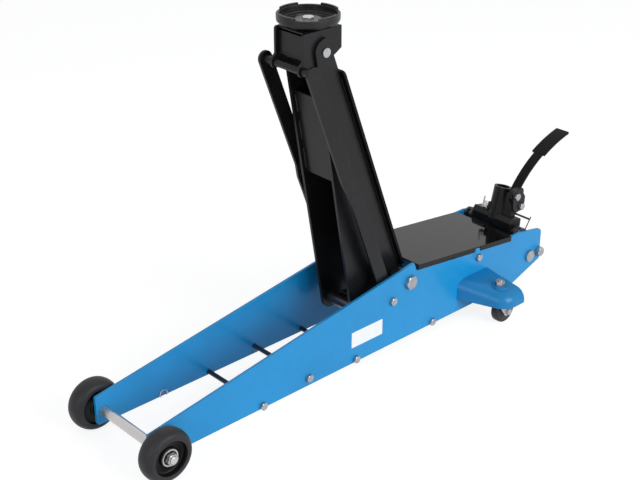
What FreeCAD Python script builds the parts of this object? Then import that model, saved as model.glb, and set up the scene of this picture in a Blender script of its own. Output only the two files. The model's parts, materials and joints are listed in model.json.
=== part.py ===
import FreeCAD, Part
import Sketcher
import math
import os
import re

Vector = FreeCAD.Vector

# Floor jack with a long chassis, arm raised, in millimetres.
# X runs from the front wheels to the pedal, -Y is the operator's left, Z is up.
# Heights start at the floor, and lengths along the chassis start at the front axle.

SIZES = [
    # chassis
    ("axle_place", -605.5, "front axle, from the middle of the whole jack"),
    ("plate_gap", 169.0, "between the side plates"),
    ("plate_thick", 6.0, "side plate"),
    ("plate_front", -17.6, "front end of the side plate"),
    ("plate_low", 24.7, "lower edge of the side plate"),
    ("plate_nose_top", 90.1, "height of the front end"),
    ("peak_along", 699.0, "highest point of the side plate"),
    ("peak_top", 202.0, "its height"),
    ("deck_along", 707.6, "where the cover's seat starts"),
    ("deck_high", 180.4, "height of the seat there"),
    ("deck_length", 323.0, "length of the seat"),
    ("deck_fall", 0.118, "fall of the seat towards the rear, per length"),
    ("hump_rise", 12.5, "rear hump over the seat's end"),
    ("hump_length", 96.0, "along its top"),
    ("hump_fall", 0.135, "fall of the hump's top"),
    ("rear_length", 112.9, "side plate behind the seat's end"),
    ("plate_rear_low", 59.8, "height where the rear end turns forward"),
    ("heel_past", 13.4, "where the slant meets the lower edge, behind the seat's end"),
    ("tab_along", 911.0, "middle of the cover's tab"),
    ("tab_width", 17.0, "tab that stands through the cover's side"),
    ("tab_rise", 8.5, "its height over the seat"),
    ("hole_play", 0.15, "play of fixed pins in their holes, on the radius"),
    ("run_play", 0.1, "play of turning pins and wheels, on the radius"),
    ("side_play", 0.3, "gap between pieces that slide past each other"),
    # tie rods
    ("rod_radius", 5.0, "tie rod"),
    ("rod_head_radius", 9.0, "to the corners of its hexagon"),
    ("rod_head_thick", 7.5, "its head"),
    ("rod_a_along", 262.7, "first tie rod"),
    ("rod_a_high", 31.7, ""),
    ("rod_b_along", 387.9, "second tie rod"),
    ("rod_b_high", 43.9, ""),
    ("rod_c_along", 524.3, "third tie rod"),
    ("rod_c_high", 32.9, ""),
    ("rod_d_along", 762.5, "fourth tie rod"),
    ("rod_d_high", 32.1, ""),
    ("rod_e_inset", 10.5, "rear tie rod before the plate's end"),
    ("rod_e_high", 84.0, ""),
    ("rod_e_radius", 7.0, ""),
    ("rod_e_head", 12.0, "to the corners of its hexagon"),
    ("rod_e_head_thick", 14.0, ""),
    # front wheels
    ("wheel_radius", 55.0, "front wheel"),
    ("wheel_side", 118.0, "middle of the tread from the middle of the jack"),
    ("wheel_half", 21.0, "half its width"),
    ("wheel_shoulder", 44.0, "radius where the crown ends"),
    ("wheel_flat", 10.0, "half the flat of the crown"),
    ("wheel_dish", 36.0, "radius of the dished outer side"),
    ("wheel_dish_deep", 10.0, "its depth"),
    ("hub_radius", 20.0, "hub in the dish"),
    ("bush_radius", 14.0, "steel bush in the wheel"),
    ("bush_flange", 18.0, "flange of the bush"),
    ("axle_radius", 10.5, "front axle between the plates"),
    ("axle_end_radius", 8.0, "front axle in the wheels"),
    ("axle_past", 29.0, "its end past the middle of the tread"),
    ("axle_nut_radius", 13.0, "across the corners"),
    ("axle_nut_thick", 9.0, ""),
    # lift arm
    ("arm_pivot_along", 686.0, "pivot of the lift arm"),
    ("arm_pivot_high", 161.0, ""),
    ("arm_length", 594.7, "from the pivot to the saddle pin"),
    ("lift_angle", 69.2, "of the raised arm over level"),
    ("arm_half", 49.0, "half the arm's width over its side plates"),
    ("arm_plate", 6.0, "side plate of the arm"),
    ("arm_back", 16.0, "arm's rear edge behind the line of its pins"),
    ("arm_front_deep", 36.0, "front edge before that line, near the saddle"),
    ("arm_front_short", 50.7, "where that is measured, before the saddle pin"),
    ("arm_taper", 0.196, "growth of the arm's depth towards its foot"),
    ("arm_head_radius", 28.0, "round end at the saddle"),
    ("arm_boss_radius", 23.0, "round end at the pivot"),
    ("foot_down", 8.0, "crosshead pin past the pivot"),
    ("foot_out", 118.0, "and before it"),
    ("foot_radius", 25.0, "round foot round the crosshead pin"),
    ("web_half", 61.0, "half the width of the arm's top plate"),
    ("web_thick", 6.0, ""),
    ("web_low", 22.0, "lower end of the top plate, from the pivot"),
    ("web_short", 54.7, "upper end, before the saddle pin"),
    ("web_corner", 8.0, "its upper corners"),
    ("brace_length", 181.0, "plate between the arm's side plates"),
    ("brace_short", 95.0, "its upper end, before the saddle pin"),
    ("brace_inset", 10.0, "behind the arm's front edge"),
    ("brace_thick", 4.0, ""),
    ("pivot_radius", 14.0, "arm pivot bolt"),
    ("pivot_head_radius", 16.5, "across the corners"),
    ("pivot_head_thick", 10.0, ""),
    ("spacer_radius", 21.0, "spacer between arm and side plate"),
    ("saddle_pin_radius", 8.5, ""),
    ("saddle_pin_head", 9.5, "its round head"),
    ("saddle_pin_head_thick", 3.0, ""),
    ("crosshead_radius", 14.0, "pin that the ram pushes"),
    # radius links
    ("link_back", -52.5, "link pins from the arm's pins, along the jack"),
    ("link_drop", -28.0, "and in height"),
    ("link_width", 32.0, "radius link"),
    ("link_thick", 6.0, ""),
    ("link_side", 72.0, "outer face of the link near the saddle"),
    ("link_foot_side", 80.5, "outer face at its foot"),
    ("bend_short", 294.7, "where the joggle starts, before the upper pin"),
    ("bend_length", 35.0, ""),
    ("link_pin_radius", 8.0, ""),
    ("link_pin_head", 9.5, ""),
    ("link_shaft_radius", 8.0, "shaft through the links and the saddle bracket"),
    # saddle
    ("bracket_length", 97.6, "along the jack"),
    ("bracket_before_pin", 50.0, "front of the bracket before the saddle pin"),
    ("bracket_half", 42.3, "half its width"),
    ("bracket_wall", 6.0, ""),
    ("bracket_over_pin", 44.0, "top of the bracket over the saddle pin"),
    ("bracket_top_thick", 10.0, ""),
    ("bracket_rear_drop", 1.0, "lower rear corner under the pin"),
    ("bracket_front_drop", 7.0, "lower front edge under the pin"),
    ("bead_radius", 6.0, "round bar along the front lower edge"),
    ("cup_radius", 62.2, "saddle"),
    ("cup_tall", 17.0, "to its low rim"),
    ("tooth_tall", 4.0, "teeth over the rim"),
    ("tooth_angle", 45.0, "that each tooth takes of the rim"),
    ("cup_rim", 6.0, "thickness of the rim"),
    ("cup_neck", 46.0, "radius of the neck under the saddle"),
    ("cup_lift", 7.0, "saddle's underside over the bracket"),
    ("cup_floor", 2.0, "its floor under the washer, over its underside"),
    ("cup_sink", 6.0, "its neck below that"),
    ("washer_radius", 26.0, "washer in the saddle"),
    ("washer_thick", 3.0, ""),
    ("centre_bolt_radius", 10.0, ""),
    ("centre_head_radius", 12.0, "across the corners"),
    ("centre_head_tall", 4.5, ""),
    # cover
    ("cover_over", 12.5, "cover's top over the side plates' seat"),
    ("cover_sheet", 3.0, ""),
    ("cover_start", 5.4, "cover's front behind the start of its seat"),
    ("cover_past", 9.4, "its rear past the seat's end"),
    ("bulkhead_start", 9.4, "cross plate under the cover's front, from the seat's start"),
    ("bulkhead_tall", 32.0, ""),
    ("bulkhead_thick", 5.0, ""),
    ("cover_bolt_along", 913.0, ""),
    ("cover_bolt_drop", 14.0, "bolt under the cover's seat"),
    ("cover_bolt_head", 9.0, ""),
    # rear casters and their outriggers
    ("hood_front", 846.0, "outrigger's front at the side plate"),
    ("hood_sweep", 41.0, "how much further back its outer end starts"),
    ("hood_rear", 947.0, ""),
    ("hood_side", 205.0, "outer end from the middle of the jack"),
    ("hood_low", 57.5, "lower edge"),
    ("hood_top", 104.0, "height at the side plate"),
    ("hood_fall", 0.147, "fall of its top outwards"),
    ("hood_round", 26.0, "round of its top edges"),
    ("hood_corner", 40.0, "round of its outer corner in plan"),
    ("hood_wall", 4.0, ""),
    ("swivel_along", 912.0, "caster's swivel"),
    ("swivel_inset", 45.0, "and in from the outrigger's end"),
    ("boss_radius", 18.0, "caster seat in the outrigger"),
    ("boss_low", 77.0, ""),
    ("boss_high", 97.0, ""),
    ("race_thick", 6.0, "ball race between seat and fork"),
    ("race_radius", 19.0, ""),
    ("caster_radius", 30.0, "caster wheel"),
    ("caster_half", 13.0, ""),
    ("caster_trail", 15.0, "wheel behind its swivel"),
    ("fork_half", 18.0, "half the fork's width"),
    ("fork_sheet", 3.0, ""),
    ("fork_front", 21.0, "fork's crown before the swivel"),
    ("fork_rear", 22.0, "and behind it"),
    ("fork_foot", 9.0, "round the caster axle"),
    ("caster_axle_radius", 4.0, ""),
    ("stud_radius", 6.0, "caster stud"),
    ("stud_nut_radius", 11.0, ""),
    ("stud_nut_tall", 11.0, ""),
    # handle yoke, on the rear hump
    ("yoke_back", 47.4, "pivot of the yoke behind the seat's end"),
    ("yoke_high", 142.0, ""),
    ("yoke_radius", 19.0, "cross tube"),
    ("yoke_half", 67.0, "half its length"),
    ("yoke_block", 20.0, "half the height of the block on it"),
    ("yoke_block_round", 8.0, "its corners"),
    ("yoke_block_right", 60.0, "its right end"),
    ("trunnion_radius", 10.0, "yoke pin"),
    ("yoke_bush_radius", 16.0, "bush on the side plate"),
    ("yoke_bush_thick", 5.0, ""),
    ("socket_lean", 14.5, "backward lean of the handle socket"),
    ("socket_radius", 21.0, "outside"),
    ("socket_bore", 16.2, "inside"),
    ("socket_reach", 94.0, "mouth from the yoke's pivot"),
    ("socket_floor", 34.0, "bottom of the bore from the pivot"),
    ("coupling_radius", 11.0, "release coupling under the bore"),
    ("coupling_floor", 20.0, "its lower end from the pivot"),
    ("coupling_tall", 13.0, ""),
    ("clamp_high", 41.0, "clamp screw along the socket, from the pivot"),
    ("clamp_turn", 127.0, "its direction round the socket"),
    ("clamp_radius", 5.0, ""),
    ("clamp_boss_radius", 10.0, "hexagon boss"),
    ("clamp_boss_reach", 26.0, ""),
    ("clamp_tip_gap", 0.6, "its tip behind the wall of the bore"),
    ("cam_back", 16.0, "pin that pushes the pump plunger, behind the yoke's pivot"),
    ("cam_drop", 10.0, "and below it"),
    ("cam_radius", 7.0, ""),
    ("cam_half", 9.0, "half its width"),
    ("cam_core", 3.0, "radius of its ends"),
    ("plunger_play_front", 10.0, "room for the plunger as the unit swings"),
    # pedal
    ("pedal_left", 58.0, "pedal's outer edge, left of the middle"),
    ("pedal_wide", 26.0, ""),
    ("pad_wide", 37.0, "tread of the pedal"),
    ("pedal_size", 200.0, "pedal and its bracket are drawn in hundredths of this"),
    ("bracket_plate", 6.0, "plate that carries the pedal"),
    ("lug_thick", 12.0, "foot of the pedal against that plate"),
    ("pedal_bolt_radius", 5.0, ""),
    ("pedal_nut_radius", 9.0, ""),
    ("pedal_nut_thick", 6.0, ""),
    ("hook_rod_radius", 2.5, "rod that holds the return spring"),
    ("hook_back", 32.0, "it stands behind the yoke's pivot"),
    ("hook_up", 28.0, "and over it"),
    ("hook_inner", 25.0, "its right end, left of the middle"),
    ("hook_outer", 80.0, "its left end"),
    ("hook_lug", 7.0, "bracket round that rod"),
    ("spring_radius", 14.5, "return spring, middle of the wire"),
    ("wire_radius", 1.3, ""),
    ("spring_side", 68.5, "its first coil, left of the middle"),
    ("spring_pitch", 3.0, ""),
    ("spring_turns", 3.0, ""),
    ("leg_past", 7.0, "its legs past the rods they bear on"),
    ("eye_along", 144.0, "wire eye on the right side plate"),
    ("eye_high", 31.0, ""),
    ("eye_radius", 8.0, ""),
    # hydraulic unit
    ("unit_back", 71.4, "pin that carries the hydraulic unit, behind the seat's end"),
    ("unit_high", 81.0, ""),
    ("unit_pin_radius", 12.0, ""),
    ("unit_head_radius", 14.0, ""),
    ("unit_head_thick", 7.0, ""),
    ("block_half", 50.0, "pump block, half its width"),
    ("block_back", 17.0, "behind the pin"),
    ("block_before", 52.0, "before the pin"),
    ("block_up", 29.0, "over the pin"),
    ("block_down", 30.0, "under the pin"),
    ("tube_radius", 32.0, "cylinder"),
    ("tube_bore", 22.0, ""),
    ("tube_end", 295.0, "front end of the cylinder, from the pin"),
    ("gland_radius", 35.0, ""),
    ("gland_thick", 16.0, ""),
    ("ram_radius", 12.0, ""),
    ("piston_thick", 22.0, ""),
    ("piston_from_end", 30.0, "piston behind the cylinder's front end"),
    ("ram_head_half", 30.0, "half the width of the ram's head"),
    ("ram_head_thick", 16.0, "plate that bears on the crosshead pin"),
    ("ram_head_over", 14.0, "its face over the ram's line"),
    ("ram_head_under", 28.0, "and under it"),
    ("ram_head_boss", 20.0, "its boss on the ram"),
    ("ram_head_start", 44.0, "boss behind the crosshead pin"),
    ("plunger_radius", 7.0, "pump plunger"),
    ("plunger_before", 8.0, "before the unit's pin"),
    ("plunger_up", 43.4, "its top over the pin"),
    ("plunger_foot", 8.0, "its lower end over the pin"),
    ("unit_socket", 15.0, "depth of the pin's socket in the pump block"),
]

# Sizes that follow from those above
DERIVED = [
    ("plate_rear", "deck_along + deck_length + rear_length"),
    ("plate_heel", "deck_along + deck_length + heel_past"),
    ("rod_e_along", "plate_rear - rod_e_inset"),
    ("axle_half", "wheel_side + axle_past"),
    ("arm_front_at", "arm_length - arm_front_short"),
    ("web_high", "arm_length - web_short"),
    ("brace_high", "arm_length - brace_short"),
    ("brace_low", "brace_high - brace_length"),
    ("bend_low", "arm_length - bend_short"),
    ("bend_high", "bend_low + bend_length"),
    ("cover_front", "deck_along + cover_start"),
    ("cover_rear", "deck_along + deck_length + cover_past"),
    ("bulkhead_along", "deck_along + bulkhead_start"),
    ("swivel_side", "hood_side - swivel_inset"),
    ("yoke_along", "deck_along + deck_length + yoke_back"),
    ("unit_along", "deck_along + deck_length + unit_back"),
]

doc = FreeCAD.newDocument("FloorJack")
sheet = doc.addObject("Spreadsheet::Sheet", "Sizes")
for row, (name, size, note) in enumerate(SIZES, start=1):
    sheet.set(f"A{row}", name)
    sheet.set(f"B{row}", str(size))
    sheet.set(f"C{row}", note)
    sheet.setAlias(f"B{row}", name)
for row, (name, formula) in enumerate(DERIVED, start=len(SIZES) + 1):
    sheet.set(f"A{row}", name)
    sheet.set(f"B{row}", "=" + formula)
    sheet.setAlias(f"B{row}", name)
doc.recompute()

PARTS = {}
SIDES = (("left", -1), ("right", 1))

# Places that follow from the sizes
SADDLE_ALONG = "(arm_pivot_along - arm_length * cos(lift_angle))"
SADDLE_HIGH = "(arm_pivot_high + arm_length * sin(lift_angle))"
LINK_TOP_ALONG = f"({SADDLE_ALONG} + link_back)"
LINK_TOP_HIGH = f"({SADDLE_HIGH} + link_drop)"
FOOT_ALONG = "(arm_pivot_along + foot_down * cos(lift_angle) - foot_out * sin(lift_angle))"
FOOT_HIGH = "(arm_pivot_high - foot_down * sin(lift_angle) - foot_out * cos(lift_angle))"
RAM_REACH = f"sqrt(({FOOT_ALONG} - unit_along)^2 + ({FOOT_HIGH} - unit_high)^2)"
RAM_TILT = f"(atan(({FOOT_HIGH} - unit_high) / (unit_along - {FOOT_ALONG})) / 1 deg)"
PLATE_IN = "(plate_gap / 2)"
PLATE_OUT = "(plate_gap / 2 + plate_thick)"
BRACKET_TOP = f"({SADDLE_HIGH} + bracket_over_pin)"
DECK_END = "(deck_along + deck_length)"


def deck(along):
    """Height of the cover's seat at a place along the jack."""
    return f"(deck_high - (({along}) - deck_along) * deck_fall)"


def arm_front(out):
    """Front edge of the arm at a distance from its pivot."""
    return f"(arm_front_deep + (arm_front_at - ({out})) * arm_taper)"


# Tools for drawing from the sizes

def linked(text):
    return re.sub(r"[a-z]+_\w+", lambda found: "Sizes." + found.group(0), str(text))


def value(text):
    found = sheet.evalExpression(str(text))
    return float(getattr(found, "Value", found))


def bind(thing, prop, text):
    thing.setExpression(prop, linked(text))


def place(thing, along="0", side="0", high="0", axis=None, angle="0"):
    """Puts a piece at its place, with lengths from the front axle and heights from the floor."""
    if axis:
        thing.Placement = FreeCAD.Placement(Vector(), FreeCAD.Rotation(Vector(*axis), value(angle)))
        bind(thing, "Placement.Rotation.Angle", angle)
    bind(thing, "Placement.Base.x", f"axle_place + {along}")
    bind(thing, "Placement.Base.y", side)
    bind(thing, "Placement.Base.z", high)
    return thing


def new_body(label):
    made = doc.addObject("PartDesign::Body", label)
    made.Label = label
    return made


def origin_part(owner, role):
    return next(part for part in owner.Origin.OriginFeatures if part.Role == role)


def new_sketch(owner, role, offset="0"):
    made = owner.newObject("Sketcher::SketchObject", owner.Name + "_sketch")
    made.AttachmentSupport = [(origin_part(owner, role), "")]
    made.MapMode = "FlatFace"
    sign = "-" if role == "XZ_Plane" else ""
    bind(made, "AttachmentOffset.Base.z", f"{sign}({offset})")
    return made


def pin_down(drawing, rules, ties, geo, spot, across, up):
    """Ties a point of the drawing to its two measures."""
    for kind, text in (("DistanceX", across), ("DistanceY", up)):
        ties.append((len(rules), text))
        rules.append(Sketcher.Constraint(kind, -1, 1, geo, spot, value(text)))


def circle(drawing, across, up, radius):
    centre = Vector(value(across), value(up), 0)
    geo = drawing.addGeometry(Part.Circle(centre, Vector(0, 0, 1), value(radius)), False)
    rules, ties = [], []
    pin_down(drawing, rules, ties, geo, 3, across, up)
    ties.append((len(rules), radius))
    rules.append(Sketcher.Constraint("Radius", geo, value(radius)))
    settle(drawing, rules, ties)


def settle(drawing, rules, ties):
    first = drawing.ConstraintCount
    drawing.addConstraint(rules)
    for number, text in ties:
        bind(drawing, f"Constraints[{first + number}]", text)


def outline(drawing, corners):
    """A closed outline. A corner is (across, up) or (across, up, radius), each an expression."""
    spots = [Vector(value(corner[0]), value(corner[1]), 0) for corner in corners]
    radii = [value(corner[2]) if len(corner) > 2 else 0 for corner in corners]
    count = len(corners)
    arrive, leave, centres, turns = [], [], [], []
    for i, spot in enumerate(spots):
        back = (spots[i - 1] - spot).normalize()
        ahead = (spots[(i + 1) % count] - spot).normalize()
        half = back.getAngle(ahead) / 2
        arrive.append(spot + back * (radii[i] / math.tan(half)))
        leave.append(spot + ahead * (radii[i] / math.tan(half)))
        centres.append(spot + (back + ahead).normalize() * (radii[i] / math.sin(half)))
        turns.append((spot - spots[i - 1]).cross(spots[(i + 1) % count] - spot).z > 0)
    lines = [Part.LineSegment(leave[i], arrive[(i + 1) % count]) for i in range(count)]
    first = drawing.GeometryCount
    drawing.addGeometry(lines, False)
    rules, ties = [], []
    for i, corner in enumerate(corners):
        coming, going = first + (i - 1) % count, first + i
        if not radii[i]:
            rules.append(Sketcher.Constraint("Coincident", coming, 2, going, 1))
            pin_down(drawing, rules, ties, going, 1, corner[0], corner[1])
            continue
        start, end = (arrive[i], leave[i]) if turns[i] else (leave[i], arrive[i])
        angles = [math.atan2(p.y - centres[i].y, p.x - centres[i].x) for p in (start, end)]
        if angles[1] < angles[0]:
            angles[1] += 2 * math.pi
        ring = Part.Circle(centres[i], Vector(0, 0, 1), radii[i])
        arc = drawing.addGeometry(Part.ArcOfCircle(ring, *angles), False)
        mark = drawing.addGeometry(Part.Point(spots[i]), True)
        near, far = (1, 2) if turns[i] else (2, 1)
        rules.append(Sketcher.Constraint("Tangent", coming, 2, arc, near))
        rules.append(Sketcher.Constraint("Tangent", arc, far, going, 1))
        rules.append(Sketcher.Constraint("PointOnObject", mark, 1, coming))
        rules.append(Sketcher.Constraint("PointOnObject", mark, 1, going))
        ties.append((len(rules), corner[2]))
        rules.append(Sketcher.Constraint("Radius", arc, radii[i]))
        pin_down(drawing, rules, ties, mark, 1, corner[0], corner[1])
    settle(drawing, rules, ties)


def draw(drawing, shapes):
    for shape in shapes:
        if len(shape) == 3 and isinstance(shape[0], str):
            circle(drawing, *shape)
        else:
            outline(drawing, shape)


def slab(owner, role, middle, thick, shapes):
    """Adds material, as thick as given and as far from the plane as its middle says."""
    drawing = new_sketch(owner, role, middle)
    draw(drawing, shapes)
    made = owner.newObject("PartDesign::Pad", owner.Name + "_pad")
    made.Profile = drawing
    made.SideType = "Symmetric"
    bind(made, "Length", thick)
    return made


def cut(owner, role, middle, thick, shapes):
    """Takes material away in the same way."""
    drawing = new_sketch(owner, role, middle)
    draw(drawing, shapes)
    made = owner.newObject("PartDesign::Pocket", owner.Name + "_pocket")
    made.Profile = drawing
    made.SideType = "Symmetric"
    bind(made, "Length", thick)
    return made


def turned(label, axis, corners, role="XY_Plane"):
    """A turned piece: its profile, revolved about one of its own axes."""
    made = new_body(label)
    drawing = new_sketch(made, role)
    outline(drawing, corners)
    spun = made.newObject("PartDesign::Revolution", label + "_turned")
    spun.Profile = drawing
    spun.ReferenceAxis = (origin_part(made, axis), [""])
    spun.Angle = 360
    return made


def rounded(owner, radius, chosen):
    """Rounds the edges of a body that a test picks."""
    doc.recompute()
    tip = owner.Tip
    names = [f"Edge{i}" for i, edge in enumerate(tip.Shape.Edges, start=1) if chosen(edge)]
    made = owner.newObject("PartDesign::Fillet", owner.Name + "_round")
    made.Base = (tip, names)
    bind(made, "Radius", radius)
    return made


def bar(label, radius, length, along="0", side="0", high="0", axis=(1, 0, 0), angle="-90"):
    """A round bar. It runs towards +Y unless its axis says otherwise."""
    made = doc.addObject("Part::Cylinder", label)
    bind(made, "Radius", radius)
    bind(made, "Height", length)
    return place(made, along, side, high, axis, angle)


def hexagon(label, radius, thick, along="0", side="0", high="0", axis=(1, 0, 0), angle="-90"):
    made = doc.addObject("Part::Prism", label)
    made.Polygon = 6
    bind(made, "Circumradius", radius)
    bind(made, "Height", thick)
    return place(made, along, side, high, axis, angle)


def bolt_head(label, radius, thick, sign, along="0", side="0", high="0", axis=(1, 0, 0), angle="-90"):
    """A hexagon whose outer corners are bevelled by a cone. It lies outward of a face on either side."""
    prism = hexagon(label + "_prism", radius, thick, along, side, high, axis, angle)
    cone = doc.addObject("Part::Cone", label + "_cone")
    outer, root = f"({radius}) * 0.86", f"({radius}) * 0.86 + ({thick}) * 1.73"
    bind(cone, "Radius1", root if sign > 0 else outer)
    bind(cone, "Radius2", outer if sign > 0 else root)
    bind(cone, "Height", thick)
    made = doc.addObject("Part::Common", label)
    made.Base = prism
    made.Tool = place(cone, along, side, high, axis, angle)
    return made


def less(label, whole, *taken):
    """One piece less others."""
    for number, tool in enumerate(taken):
        made = doc.addObject("Part::Cut", f"{label}_cut{number}")
        made.Base = whole
        made.Tool = tool
        whole = made
    return whole


def joined(label, *pieces):
    made = doc.addObject("Part::MultiFuse", label + "_whole")
    made.Shapes = list(pieces)
    made.Refine = True
    return made


def group(label, pieces):
    made = doc.addObject("Part::Compound", label + "_group")
    made.Links = list(pieces)
    return made


def keep(label, piece):
    piece.Label = label
    PARTS[label] = piece
    return piece


def outward(sign, start, thick):
    """Where a piece along Y starts, so that it lies outward of a face on either side."""
    return start if sign > 0 else f"-({start}) - ({thick})"


# Chassis

def side_plate(word, sign):
    plate = new_body(f"side_plate_{word}")
    tab_front, tab_rear = "(tab_along - tab_width / 2)", "(tab_along + tab_width / 2)"
    hump_top = f"({deck(DECK_END)} + hump_rise)"
    middle = f"{sign} * ({PLATE_IN} + plate_thick / 2)"
    slab(plate, "XZ_Plane", middle, "plate_thick", [[
        ("plate_front", "plate_low", "8"),
        ("plate_heel", "plate_low", "14"),
        ("plate_rear", "plate_rear_low", "4"),
        ("plate_rear", f"{hump_top} - (plate_rear - {DECK_END}) * hump_fall", "12"),
        (f"{DECK_END} + (plate_rear - {DECK_END} - hump_length) * 2", hump_top, "9"),
        (f"{DECK_END} + 1.5", hump_top, "3"),
        (DECK_END, deck(DECK_END)),
        (tab_rear, deck(tab_rear)),
        (f"{tab_rear} - 2", f"{deck(tab_rear)} + tab_rise", "2"),
        (f"{tab_front} + 2", f"{deck(tab_front)} + tab_rise", "2"),
        (tab_front, deck(tab_front)),
        ("deck_along", "deck_high"),
        ("peak_along", "peak_top", "3"),
        ("plate_front", "plate_nose_top", "3"),
    ]])
    holes = [("0", "wheel_radius", "axle_end_radius + hole_play")]
    for rod in "abcd":
        holes.append((f"rod_{rod}_along", f"rod_{rod}_high", "rod_radius + hole_play"))
    holes.append(("rod_e_along", "rod_e_high", "rod_e_radius + hole_play"))
    holes.append(("arm_pivot_along", "arm_pivot_high", "pivot_radius + hole_play"))
    holes.append(("arm_pivot_along + link_back", "arm_pivot_high + link_drop", "link_pin_radius + hole_play"))
    holes.append(("unit_along", "unit_high", "unit_pin_radius + hole_play"))
    cut(plate, "XZ_Plane", middle, "plate_thick * 2", holes)
    keep(plate.Label, place(plate))


def tie_rods():
    length = f"2 * {PLATE_OUT}"
    rods, heads = [], []
    for letter in "abcde":
        radius, head, thick = "rod_radius", "rod_head_radius", "rod_head_thick"
        if letter == "e":
            radius, head, thick = "rod_e_radius", "rod_e_head", "rod_e_head_thick"
        spot = (f"rod_{letter}_along", f"rod_{letter}_high")
        rods.append(bar(f"rod_{letter}", radius, length, spot[0], f"-{PLATE_OUT}", spot[1]))
        for word, sign in SIDES:
            start = outward(sign, PLATE_OUT, thick)
            heads.append(bolt_head(f"head_{letter}_{word}", head, thick, sign, spot[0], start, spot[1]))
    keep("tie_rods", group("tie_rods", rods))
    keep("tie_rod_heads", group("tie_rod_heads", heads))


def front_axle():
    axle = turned("front_axle", "Y_Axis", [
        ("0", "-axle_half"),
        ("axle_end_radius", "-axle_half", "1.5"),
        ("axle_end_radius", f"-{PLATE_IN}"),
        ("axle_radius", f"-{PLATE_IN}"),
        ("axle_radius", PLATE_IN),
        ("axle_end_radius", PLATE_IN),
        ("axle_end_radius", "axle_half", "1.5"),
        ("0", "axle_half"),
    ])
    keep("front_axle", place(axle, high="wheel_radius"))


BUSH_INNER = "(wheel_half + 1.5)"
BUSH_OUTER = "(wheel_half - wheel_dish_deep + 5.5)"
NUT_START = f"(wheel_side + {BUSH_OUTER} + side_play)"
WASHER_THICK = f"(wheel_side - {BUSH_INNER} - side_play - {PLATE_OUT})"


def front_wheel(word, sign):
    dish = "(wheel_half - wheel_dish_deep)"
    bore = "bush_radius"
    wheel = turned(f"front_wheel_{word}", "Y_Axis", [
        (bore, f"-{sign} * wheel_half"),
        ("wheel_shoulder", f"-{sign} * wheel_half", "6"),
        ("wheel_radius", f"-{sign} * wheel_flat", "23"),
        ("wheel_radius", f"{sign} * wheel_flat", "23"),
        ("wheel_shoulder", f"{sign} * wheel_half", "6"),
        ("wheel_dish", f"{sign} * wheel_half", "1.5"),
        ("wheel_dish - 3", f"{sign} * {dish}", "3"),
        ("hub_radius", f"{sign} * {dish}", "2"),
        ("hub_radius", f"{sign} * ({dish} + 3)", "0.8"),
        (bore, f"{sign} * ({dish} + 3)"),
    ])
    keep(wheel.Label, place(wheel, "0", f"{sign} * wheel_side", "wheel_radius"))
    hole = "axle_end_radius + run_play"
    bush = turned(f"wheel_bush_{word}", "Y_Axis", [
        (hole, f"-{sign} * {BUSH_INNER}"),
        ("bush_radius", f"-{sign} * {BUSH_INNER}"),
        ("bush_radius", f"{sign} * ({dish} + 3)"),
        ("bush_flange", f"{sign} * ({dish} + 3)"),
        ("bush_flange", f"{sign} * {BUSH_OUTER}"),
        ("bush_flange - 2.5", f"{sign} * {BUSH_OUTER}"),
        ("bush_flange - 2.5", f"{sign} * ({BUSH_OUTER} - 1.8)"),
        ("bush_radius - 2", f"{sign} * ({BUSH_OUTER} - 1.8)"),
        ("bush_radius - 2", f"{sign} * {BUSH_OUTER}"),
        (hole, f"{sign} * {BUSH_OUTER}"),
    ])
    keep(bush.Label, place(bush, "0", f"{sign} * wheel_side", "wheel_radius"))


def axle_fasteners():
    washers, nuts = [], []
    for word, sign in SIDES:
        start = outward(sign, PLATE_OUT, WASHER_THICK)
        disc = bar(f"axle_washer_{word}", "bush_radius", WASHER_THICK, "0", start, "wheel_radius")
        hole = bar(f"washer_hole_{word}", "axle_end_radius + hole_play", WASHER_THICK, "0", start,
                   "wheel_radius")
        washers.append(less(f"axle_washer_{word}", disc, hole))
        start = outward(sign, NUT_START, "axle_nut_thick")
        nut = bolt_head(f"nut_form_{word}", "axle_nut_radius", "axle_nut_thick", sign, "0", start,
                        "wheel_radius")
        hole = bar(f"nut_hole_{word}", "axle_end_radius + 0.05", "axle_nut_thick", "0", start, "wheel_radius")
        nuts.append(less(f"axle_nut_{word}", nut, hole))
    keep("axle_washers", group("axle_washers", washers))
    keep("axle_nuts", group("axle_nuts", nuts))


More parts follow.
